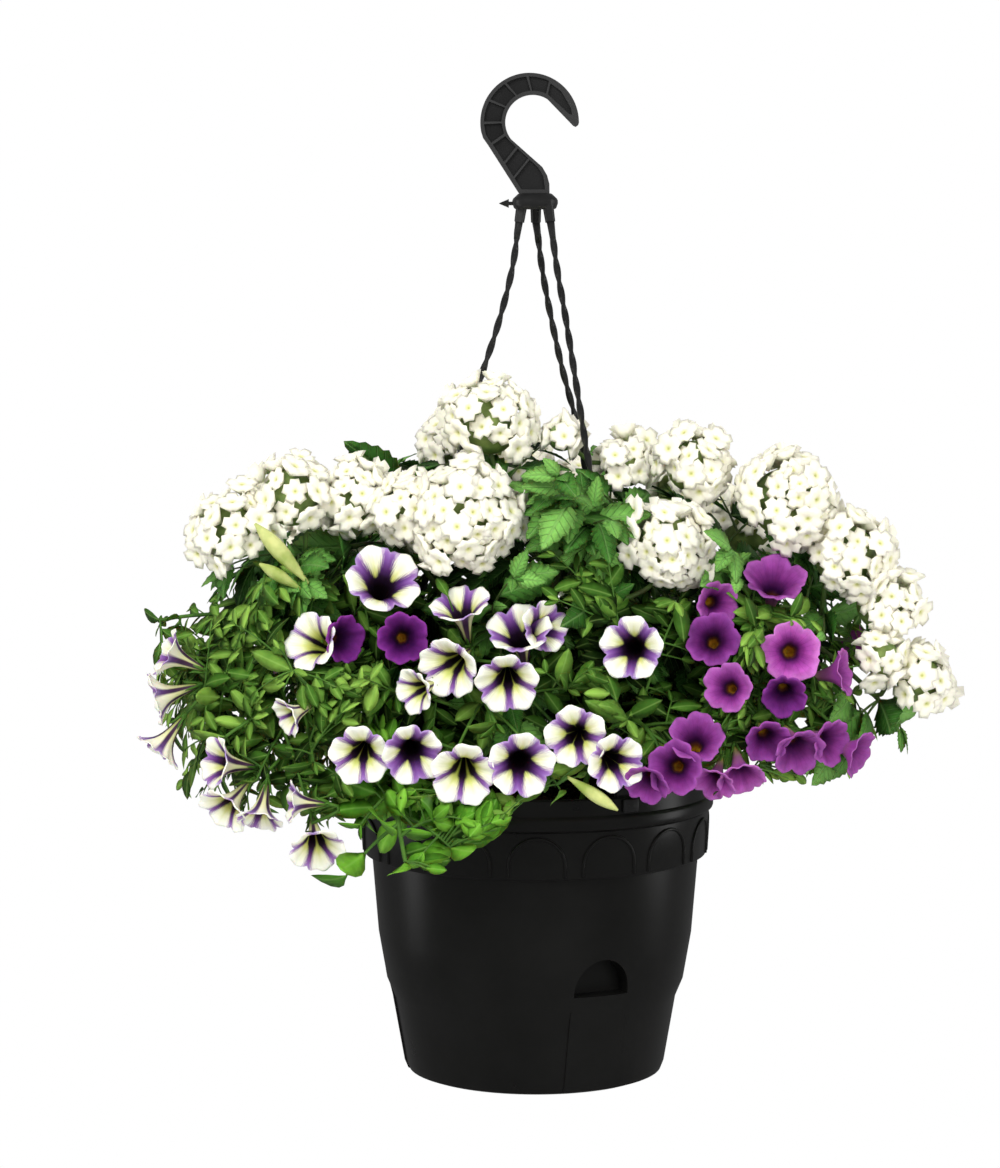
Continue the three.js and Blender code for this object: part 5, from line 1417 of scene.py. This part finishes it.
def make_heads(floret):
    """Every verbena head: florets all over a cap, round a green core with its short stalk."""
    for index, (name, members) in enumerate(VERBENA_HEADS.items()):
        parts = []
        joint = joint_of([np.array(head[:3], float) for head in members])
        for number, (x, y, z, radius) in enumerate(members):
            middle = np.array([x, y, z], float)
            outwards = unit(unit(middle - HEAD_CENTRE) * HEAD_OUTWARDS + HEAD_LIGHT_WAY)
            bpy.ops.mesh.primitive_uv_sphere_add(
                segments=20, ring_count=12, radius=CORE_SHARE * radius * MM, location=tuple(middle * MM))
            core = bpy.context.active_object
            bpy.ops.object.transform_apply(location=True, rotation=False, scale=False)
            core.data.materials.append(VERBENA_HEART)
            core.data.shade_smooth()
            closeness = FLORETS_IN_LOOSE_HEAD if name in LOOSE_HEADS else FLORETS_IN_FULL_HEAD
            florets = round(closeness * (radius / FLORET_RADIUS) ** 2)
            grow(core, HEAD_TREE, {
                "Floret": floret, "Florets": florets, "Radius": radius * MM, "Cover": HEAD_COVER,
                "Floret Size": FLORET_RADIUS * MM, "Facing": Vector(outwards), "Middle": Vector(middle * MM),
                "Seed": 10 * index + number, "Finish": VERBENA_WHITE})
            parts.append(core)
            if len(members) > 1:
                stalk = Patchwork()
                stalk.put(*tube([joint, (joint + middle) / 2, middle], [1.8, 1.6, 1.8]))
                parts.append(stalk.object("stalk", VERBENA_STEM, "tint"))
        finished(joined(name, parts), name)


# Leafy shoots

def bezier(control, count):
    """Points evenly spaced by length along a Bezier curve."""
    t = np.linspace(0, 1, 201)[:, None]
    layers = [np.array(p, float) + 0 * t for p in control]
    while len(layers) > 1:
        layers = [a + (b - a) * t for a, b in zip(layers, layers[1:])]
    line = layers[0]
    run = np.concatenate([[0], np.cumsum(np.linalg.norm(np.diff(line, axis=0), axis=1))])
    places = np.linspace(0, run[-1], count + 1)
    return np.stack([np.interp(places, run, line[:, k]) for k in range(3)], axis=1)


def along(stalk, t):
    """The point and direction at a share of a stalk."""
    steps = len(stalk) - 1
    i = min(int(t * steps), steps - 1)
    return stalk[i] + (stalk[i + 1] - stalk[i]) * (t * steps - i), unit(stalk[i + 1] - stalk[i])


def main_stem(shoot):
    """From the soil up, over the bend and out to the tip."""
    (x, y), bend = shoot.root, shoot.bend
    over = (x + 0.1 * (bend[0] - x), y + 0.1 * (bend[1] - y), SOIL_TOP + 0.6 * (bend[2] - SOIL_TOP))
    return bezier([(x, y, SOIL_TOP - ROOT_DEPTH), over, bend, shoot.tip], 24)


def arching(start, end, rise=0.12, count=10):
    """A side stem that arches up a little on its way."""
    start, end = np.array(start, float), np.array(end, float)
    middle = (start + end) / 2 + (0, 0, rise * np.linalg.norm(end - start))
    return bezier([start, middle, end], count)


def stalks_of(shoot):
    """A shoot's main stem and its side stems."""
    main = main_stem(shoot)
    return [main, *[arching(along(main, place)[0], tip) for place, tip in shoot.sides]]


def nearest_on(stalks, place):
    """The spot on a shoot's stems, beyond their first part, that is nearest to a place."""
    spots = [along(stalk, t)[0] for stalk in stalks for t in np.arange(0.3, 1, 0.05)]
    return min(spots, key=lambda spot: np.linalg.norm(spot - place))


# How far a leaf's tip sinks, as shares of its length, and half its outline: place along it and width
DROOPS = (0.18, 0.25, 0.32)
PLAIN_EDGE = [(0.0, 0.1), (0.11, 0.34), (0.28, 0.82), (0.48, 1.0), (0.69, 0.87), (0.88, 0.5), (1.0, 0.0)]
TOOTHED_EDGE = [
    (0.0, 0.08), (0.1, 0.3), (0.2, 0.8), (0.25, 0.7), (0.34, 0.96), (0.39, 0.82), (0.49, 1.0), (0.54, 0.8),
    (0.64, 0.84), (0.69, 0.62), (0.79, 0.6), (0.84, 0.38), (0.92, 0.28), (1.0, 0.0)]


def leaf_template(name, edge, droop, cupping, material):
    """A closed leaf one unit long and wide, whose faces meet along its raised edge."""
    points, maps = [], []
    for lift in (0.012, -0.012):
        for y, _ in edge:
            points.append((0, y, lift * math.sin(math.pi * y) - droop * y * y))
            maps.append((0.5, y))
    for side in (-1, 1):
        for y, share in edge:
            points.append((side * share / 2, y, cupping * share - droop * y * y))
            maps.append((0.5 + side * share / 2, y))
    n = len(edge)
    faces = []
    for i in range(n - 1):
        for rib, flip in ((0, False), (n, True)):
            for side, out in ((-1, 2 * n), (1, 3 * n)):
                face = [rib + i, rib + i + 1, out + i + 1, out + i]
                if (side > 0) != flip:
                    face = face[::-1]
                faces.append(face)
    blade = Patchwork()
    blade.put(np.array(points) / MM, faces, maps)
    made = blade.object(name, material, "tint")
    made.data.attributes.remove(made.data.attributes["tint"])
    with opened(made) as work:
        bmesh.ops.remove_doubles(work, verts=work.verts, dist=0.0005)
        bmesh.ops.recalc_face_normals(work, faces=work.faces)
    return made


def leaf_collection(name, edge, cupping, material):
    """Leaves of one outline with each of the droops, for the leafy stems to pick from."""
    made = bpy.data.collections.new(name)
    bpy.context.scene.collection.children.link(made)
    for i, droop in enumerate(DROOPS):
        blade = leaf_template(f"{name}_{i}", edge, droop, cupping, material)
        bpy.context.scene.collection.objects.unlink(blade)
        made.objects.link(blade)
    return made


class Greenery:
    """The stems and leaf spots of one shoot."""

    def __init__(self):
        self.stems, self.spots = [], []

    def stem(self, path, radii):
        """Adds a round stem along a path."""
        self.stems.append((np.asarray(path, float), np.broadcast_to(radii, len(path))))

    def blade(self, base, direction, upper, length, width, droop, tint):
        """Adds a leaf by its foot, the way it grows, the way its upper side faces, and its size."""
        across = np.cross(direction, upper)
        turn = Matrix(np.stack([across, direction, upper], axis=1).tolist()).to_quaternion()
        kind = int(np.argmin([abs(droop - d) for d in DROOPS]))
        self.spots.append((base, turn, (width, length, length), kind, tint))

    def object(self, name, leaves, stem_finish, leaf_finish):
        """The stems and leaves as one piece."""
        points, edges, thick = [], [], []
        for path, radii in self.stems:
            start = len(points)
            points.extend(path)
            thick.extend(radii)
            edges.extend((start + i, start + i + 1) for i in range(len(path) - 1))
        stems, spots = len(points), len(self.spots)
        places, turns, sizes, kinds, tints = zip(*self.spots)
        mesh = bpy.data.meshes.new(name)
        mesh.from_pydata((np.array([*points, *places]) * MM).tolist(), edges, [])
        turns = [part for turn in turns for part in turn]
        sizes = [side * MM for size in sizes for side in size]
        for title, kind, field, numbers in (
                ("is_spot", "BOOLEAN", "value", [False] * stems + [True] * spots),
                ("thickness", "FLOAT", "value", [t * MM for t in thick] + [0.0] * spots),
                ("kind", "INT", "value", [0] * stems + [*kinds]),
                ("tint", "FLOAT", "value", [0.0] * stems + [*tints]),
                ("turn", "QUATERNION", "value", [1.0, 0, 0, 0] * stems + turns),
                ("size", "FLOAT_VECTOR", "vector", [0.0, 0, 0] * stems + sizes)):
            mesh.attributes.new(title, kind, "POINT").data.foreach_set(field, numbers)
        return grow(object_of(name, mesh), LEAFY_TREE, {
            "Leaves": leaves, "Sides": 5, "Stem Finish": stem_finish, "Leaf Finish": leaf_finish})


def leaves_on(green, stalk, leaf, count, start, random, tints):
    """The leaves that the solid has on one stem, drawn as it draws them."""
    for i in range(count):
        t = start + (1 - start) * (i + 1) / count
        point, tangent = along(stalk, t)
        u, v = square_to(tangent)
        turn = math.radians(leaf.turn) * i + 0.5 * random()
        for k in range(2 if leaf.toothed else 1):
            a = turn + math.pi * k
            outwards = math.cos(a) * u + math.sin(a) * v
            rise = math.radians(leaf.rise + 16 * (random() - 0.5))
            direction = math.cos(rise) * outwards + math.sin(rise) * tangent
            upper = math.cos(rise) * tangent - math.sin(rise) * outwards
            size = 0.85 + 0.3 * random()
            droop = 0.15 + 0.2 * random()
            size *= next((s for s in (1, 0.85, 0.7, 0.55) if not in_view_of(
                point + direction * leaf.length * size * s, 0.95)), 0.4)
            tint = tints.uniform(0.2, 0.9)
            green.blade(point, direction, upper, leaf.length * size, leaf.width * size, droop, tint)


# Twigs fill the plants between the stems of the solids: the boxes that hold their ends and how many
# in each, and the gap between their leaves
TWIGS = {
    "plain": [
        ((-265, -165, 175), (265, 60, 400), 360), ((-220, 60, 200), (220, 200, 360), 90),
        ((-118, -172, 172), (-20, -150, 226), 48), ((-240, -160, 190), (-110, -60, 340), 60),
        ((-150, -150, 215), (-105, -110, 300), 16), ((90, -150, 226), (225, -90, 262), 26),
        ((-262, -120, 205), (-200, 20, 365), 34), ((110, -150, 262), (215, -95, 335), 34)],
    "toothed": [
        ((-265, -165, 175), (265, 60, 455), 110), ((-200, 60, 240), (200, 200, 440), 50),
        ((-5, -135, 345), (85, -70, 440), 5)],
}
LEAF_STEP = {"plain": 6.5, "toothed": 17}
TWIG_REACH = (14, 85)
# How far the plants reach, the height of their top and how much it sinks over a spread to the side, and
# how far to the side and front the leaves have all the light of the outermost
PLANTS_REACH = {"side": 276, "front": 172, "back": 198}
CROWN = {"plain": (385, 55), "toothed": (452, 110)}
CROWN_SPREAD = 260
OUTER_LEAVES = (258, 170)


def in_view_of(place, margin):
    """Whether something at a place would stand in front of a flower, or in a flower head."""
    x, y, z = place
    for discs, depth in ((FLOWER_FACES, 30), (HEAD_BALLS, 0)):
        before = (discs[:, 1] < 0) & (y < discs[:, 1] + depth)
        if np.any(before & (np.hypot(x - discs[:, 0], z - discs[:, 2]) < discs[:, 3] * margin)):
            return True
    return bool(np.any(np.linalg.norm(HEAD_BALLS[:, :3] - place, axis=1) < HEAD_BALLS[:, 3] * 0.9))


def outside_plants(place, style):
    """Whether a place lies beyond the plants' reach, or in the pot."""
    x, y, z = place
    if math.hypot(x, y) < RIM_RADIUS + 3 and z < RIM_HEIGHT + 3:
        return True
    if math.hypot(x / PLANTS_REACH["side"], y / PLANTS_REACH["front" if y < 0 else "back"]) > 1:
        return True
    # The leaves hang lowest left of the pot's middle
    lowest = 168 + 52 * smooth_step(x, -75, 10) + 20 * smooth_step(-x, 95, 135)
    crown, sunk = CROWN[style]
    return z < lowest or z > crown - sunk * (x / CROWN_SPREAD) ** 2


def twig_ends():
    """Ends for twigs, spread evenly through the plants, each with the spot on a stem that it grows from."""
    draw = np.random.default_rng(17)
    ends = {name: [] for name in SHOOTS}
    for style, starts in (("plain", ("petunia", "violet")), ("toothed", ("verbena",))):
        owners, spots = [], []
        for name in SHOOTS:
            if name.startswith(starts):
                here = [along(stalk, t)[0] for stalk in STALKS[name] for t in np.arange(0.25, 1.01, 0.05)]
                owners += [name] * len(here)
                spots += here
        spots = np.array(spots)
        for low, high, wanted in TWIGS[style]:
            while wanted:
                end = draw.uniform(low, high)
                if outside_plants(end, style) or in_view_of(end, 0.85):
                    continue
                reaches = np.linalg.norm(spots - end, axis=1)
                nearest = int(np.argmin(reaches))
                start = spots[nearest]
                near = TWIG_REACH[0] < reaches[nearest] < TWIG_REACH[1] and start[2] > RIM_HEIGHT - 40
                way = [start + share * (end - start) for share in np.arange(0.2, 1, 0.1)]
                if near and not any(in_view_of(place, 0.92) for place in way):
                    ends[owners[nearest]].append((start, end))
                    wanted -= 1
    return ends


def twigs_of(green, leaf, ends, seed):
    """Leafy twigs from the stems out to their ends."""
    draw = np.random.default_rng(seed)
    style = "toothed" if leaf.toothed else "plain"
    for start, end in ends:
        twig = arching(start, end, draw.uniform(0.0, 0.2), 8)
        green.stem(twig, np.linspace(leaf.stem * 0.6, leaf.stem * 0.35, len(twig)))
        outer = smooth_step(math.hypot(end[0] / OUTER_LEAVES[0], end[1] / OUTER_LEAVES[1]), 0.5, 1.0)
        dress(green, twig, leaf, outer, draw, style)


# Leaves turn their upper sides outwards from the plants, and this much to the front and up
LIGHT_WAY = np.array((0, -0.3, 0.7))


def dress(green, twig, leaf, outer, draw, style):
    """Leaves all along a twig, smaller and lighter towards its tip, with a rosette on it."""
    count = max(3, round(np.linalg.norm(twig[-1] - twig[0]) / LEAF_STEP[style]))
    rosette = [(0.985, 20), (1.0, 38)]
    places = [*(((i + 1) / count, 0) for i in range(count)), *rosette]
    for i, (t, lift) in enumerate(places):
        point, tangent = along(twig, min(t, 0.999))
        u, v = square_to(tangent)
        turn = math.radians(leaf.turn) * i + draw.uniform(0, 0.6)
        for k in range(2 if leaf.toothed else 1):
            a = turn + math.pi * k
            outwards = math.cos(a) * u + math.sin(a) * v
            rise = math.radians(leaf.rise - 12 + 22 * t + lift + draw.normal(0, 9))
            direction = math.cos(rise) * outwards + math.sin(rise) * tangent
            upper = unit(unit(point - HEAD_CENTRE) + LIGHT_WAY + draw.normal(0, 0.3, 3))
            direction = unit(direction - 0.75 * (direction @ upper) * upper)
            upper = unit(upper - (direction @ upper) * direction)
            size = draw.uniform(0.6, 0.95) * (1.0 - 0.3 * t ** 3) * (1 - lift / 90)
            tip = point + direction * leaf.length * size
            if outside_plants(tip, style) or in_view_of(tip, 0.9) or in_view_of((point + tip) / 2, 0.85):
                continue
            # Painted light: leaves at the outside of the plants and the verbena's front leaves get a lighter
            # tint, and those deep inside stay darker as painted shade; the tint also rises towards a twig's
            # tip
            lit = 0.22 if style == "toothed" and point[1] < -60 else 0.0
            tint = float(np.clip(draw.normal(0.05 + 0.26 * t + 0.36 * outer + lit, 0.19), 0, 1))
            green.blade(point, direction, upper, leaf.length * size, leaf.width * size * 1.12,
                        draw.uniform(0.12, 0.36), tint)


def carrier_of(joint, start):
    """The shoot whose stems come nearest to a spray."""
    names = [name for name in SHOOTS if name.startswith(start)]
    return min(names, key=lambda name: np.linalg.norm(nearest_on(STALKS[name], joint) - joint))


# A flower's stalk runs straight behind it at its end, and a head's straight below it
FLOWER_STALK_END = 22
HEAD_STALK_END = 34


def stalk_ends():
    """Which shoot carries each spray, and where its stalk ends."""
    ends = {name: [] for name in SHOOTS}
    for sprays, starts, radius in (
            (STRIPED_FLOWERS, ("petunia",), 1.3), (VIOLET_FLOWERS, ("violet", "petunia"), 1.3),
            (VERBENA_HEADS, ("verbena",), 1.8)):
        for members in sprays.values():
            if sprays is VERBENA_HEADS:
                backs = [np.array(head[:3], float) for head in members]
                behind = np.array((0, 0, -HEAD_STALK_END))
            else:
                backs = [flower_back(flower) for flower in members]
                behind = -FLOWER_STALK_END * unit(sum(facing(*flower[4:]) for flower in members))
            joint = joint_of(backs)
            ends[carrier_of(joint, starts)].append((joint, joint + behind, radius))
    return ends


# The way that the upper sides of the single large leaves face
SHOW_FACING = np.array((0, -0.85, 0.53))


def make_shoot(name, shoot, ends, twigs, leaves):
    """One leafy shoot: the solid's stems and leaves, and twigs that fill it."""
    leaf, plain = shoot.leaf, not shoot.leaf.toothed
    stalks = STALKS[name]
    random = seeded(shoot.seed)
    tints = np.random.default_rng(shoot.seed + 1000)
    green = Greenery()
    main, *sides = stalks
    green.stem(main, leaf.stem + 1.2 * (1 - np.linspace(0, 1, len(main))))
    for side in sides:
        green.stem(side, np.linspace(leaf.stem, 0.5 * leaf.stem, len(side)))
    count = 2 if plain else 1
    leaves_on(green, main, leaf, count, 0.45, random, tints)
    for side in sides:
        leaves_on(green, side, leaf, count, 0.2, random, tints)
    for end, behind, radius in ends:
        green.stem(bezier([nearest_on(stalks, behind), behind, end], 8), radius)
    buds = Patchwork()
    for foot, tip, width in BUDS.get(name, []):
        foot, tip = np.array(foot, float), np.array(tip, float)
        green.stem([nearest_on(stalks, foot), foot], leaf.stem)
        t = np.linspace(0, 1, 12)
        path = foot + t[:, None] * (tip - foot)
        buds.put(*tube(path, 0.5 + width / 2 * np.sin(math.pi * (0.04 + 0.94 * t ** 1.3)), 10))
    for foot, tip in np.array(SHOW_LEAVES.get(name, np.zeros((0, 2, 3))), float):
        direction = unit(tip - foot)
        upper = unit(SHOW_FACING - (SHOW_FACING @ direction) * direction)
        length = np.linalg.norm(tip - foot)
        # Painted light: these front leaves get a light tint, as they catch the most light
        green.blade(foot, direction, upper, length, 0.56 * length, DROOPS[0], tints.uniform(0.7, 1.0))
    twigs_of(green, leaf, twigs, shoot.seed)
    for stalk in stalks if plain else []:
        dress(green, stalk[len(stalk) // 2:], leaf, 0.6, tints, "plain")
    piece = green.object(name, leaves, PETUNIA_STEM if plain else VERBENA_STEM, LEAF_GREENS[leaf.finish])
    if buds.points:
        piece = joined(name, [piece, buds.object("bud", CLOSED_FLOWER, "tint")])
    finished(piece, name)


# Everything, made in turn

LEAFY_TREE = leafy_stems_tree()
HEAD_TREE = flower_head_tree()
STRAND_TREE = twisted_strand_tree()
RING_TREE = ring_of_copies_tree()
CRUMB_TREE = crumbs_tree()
STALKS = {name: stalks_of(shoot) for name, shoot in SHOOTS.items()}
FLOWER_FACES = np.array([
    (x, y, z, width / 2) for members in (STRIPED_FLOWERS | VIOLET_FLOWERS).values()
    for x, y, z, width, _, _ in members])
HEAD_BALLS = np.array([head for members in VERBENA_HEADS.values() for head in members], float)

make_pot()
make_soil()
make_hook()
section = strand_section()
for side, route in STRAND_ROUTES.items():
    make_strand(side, route, section)
bpy.data.objects.remove(section)

make_flowers(
    STRIPED_FLOWERS, seed=5, notch=0.19, petal=STRIPED_PETAL, back=STRIPED_BACK,
    shades=(0.15, 0.85), boldness=STRIPED_BOLDNESS)
make_flowers(
    VIOLET_FLOWERS, seed=7, notch=0.17, petal=VIOLET_PETAL, back=VIOLET_BACK,
    shades=(0.05, 0.7), boldness=VIOLET_BOLDNESS)
floret = make_floret()
make_heads(floret)
bpy.data.objects.remove(floret)

plain_leaves = leaf_collection("plain_leaf", PLAIN_EDGE, 0.041, LEAF_GREENS["petunia"])
toothed_leaves = leaf_collection("toothed_leaf", TOOTHED_EDGE, 0.054, LEAF_GREENS["verbena"])
ends, twigs = stalk_ends(), twig_ends()
for name, shoot in SHOOTS.items():
    blades = toothed_leaves if shoot.leaf.toothed else plain_leaves
    make_shoot(name, shoot, ends[name], twigs[name], blades)
for leaves in (plain_leaves, toothed_leaves):
    for blade in list(leaves.objects):
        bpy.data.objects.remove(blade)
    bpy.data.collections.remove(leaves)


# The stage: a white sweep behind every camera's place, soft light all round, and the camera

def make_sweep():
    """A white backdrop that runs from under the basket up behind it."""
    low, back, turn = -900, 5000, 700
    front, top, half_width = -3000, 3200, 3500
    bend = [(back - turn + turn * math.sin(t), low + turn - turn * math.cos(t))
            for t in np.linspace(0, math.pi / 2, 16)]
    profile = [(front, low), *bend, (back, top)]
    points = [(x, y, z) for y, z in profile for x in (-half_width, half_width)]
    faces = [[2 * i, 2 * i + 1, 2 * i + 3, 2 * i + 2] for i in range(len(profile) - 1)]
    sweep = object_of("backdrop", mesh_of("backdrop", points, faces))
    made, tree, shader = finish_of("backdrop_white", 0.9, Base_Color=(1, 1, 1, 1))
    glow = add(tree, "ShaderNodeEmission", {"Color": (1, 1, 1, 1), "Strength": 1.0})
    seen = add(tree, "ShaderNodeLightPath").outputs["Is Camera Ray"]
    mix = add(tree, "ShaderNodeMixShader", [seen, shader, glow])
    feed(tree, tree.nodes["Material Output"], {"Surface": mix})
    sweep.data.materials.append(made)
    sweep.visible_glossy = False


def area_light(name, place, target, size, power, mirrored):
    """A soft lamp aimed at a target, which the gloss mirrors or doesn't."""
    data = bpy.data.lights.new(name, "AREA")
    data.shape = "RECTANGLE"
    data.size, data.size_y = (value * MM for value in size)
    data.energy = power
    made = bpy.data.objects.new(name, data)
    made.location = Vector(place) * MM
    made.rotation_euler = (Vector(target) - Vector(place)).to_track_quat("-Z", "Y").to_euler()
    made.visible_glossy = mirrored
    bpy.context.scene.collection.objects.link(made)


make_sweep()
for light in (
        ("key_light", (-900, -1600, 1700), (0, 0, 330), (1100, 1100), 38, False),
        ("front_fill", (900, -1900, 700), (0, 0, 300), (1400, 1400), 24, False),
        ("back_fill", (500, 2300, 1500), (0, 0, 300), (1600, 1200), 22, False),
        ("soft_shine", (-900, -1600, 1700), (0, 0, 330), (700, 700), 5, True),
        ("right_edge", (1500, 100, 500), (0, 0, 200), (500, 1600), 4, True),
        ("left_edge", (-1500, 100, 400), (0, 0, 200), (500, 1600), 3, True)):
    area_light(*light)

# How bright the room is in the picture (1), as light on the basket, and as mirrored in its gloss
ROOM_LIGHT = 0.42
ROOM_MIRRORED = 0.12
world = bpy.data.worlds.new("soft_white_room")
world.use_nodes = True
room = world.node_tree
ray = add(room, "ShaderNodeLightPath").outputs
lit = add(room, "ShaderNodeMath", [
    ray["Is Glossy Ray"], ROOM_MIRRORED - ROOM_LIGHT, ROOM_LIGHT], operation="MULTIPLY_ADD")
seen = add(room, "ShaderNodeMath", [ray["Is Camera Ray"], lit], operation="MAXIMUM")
feed(room, room.nodes["Background"], {"Color": (1, 1, 1, 1), "Strength": seen})
bpy.context.scene.world = world

camera_data = bpy.data.cameras.new("camera")
camera_data.lens = CAMERA["lens"]
camera_data.sensor_width = CAMERA["sensor"]
camera_data.clip_end = 20
camera = bpy.data.objects.new("camera", camera_data)
camera.location = Vector(CAMERA["place"]) * MM
camera.rotation_euler = (math.radians(90 - CAMERA["down"]), 0, 0)
bpy.context.scene.collection.objects.link(camera)
bpy.context.scene.camera = camera
bpy.context.scene.view_settings.view_transform = "Standard"
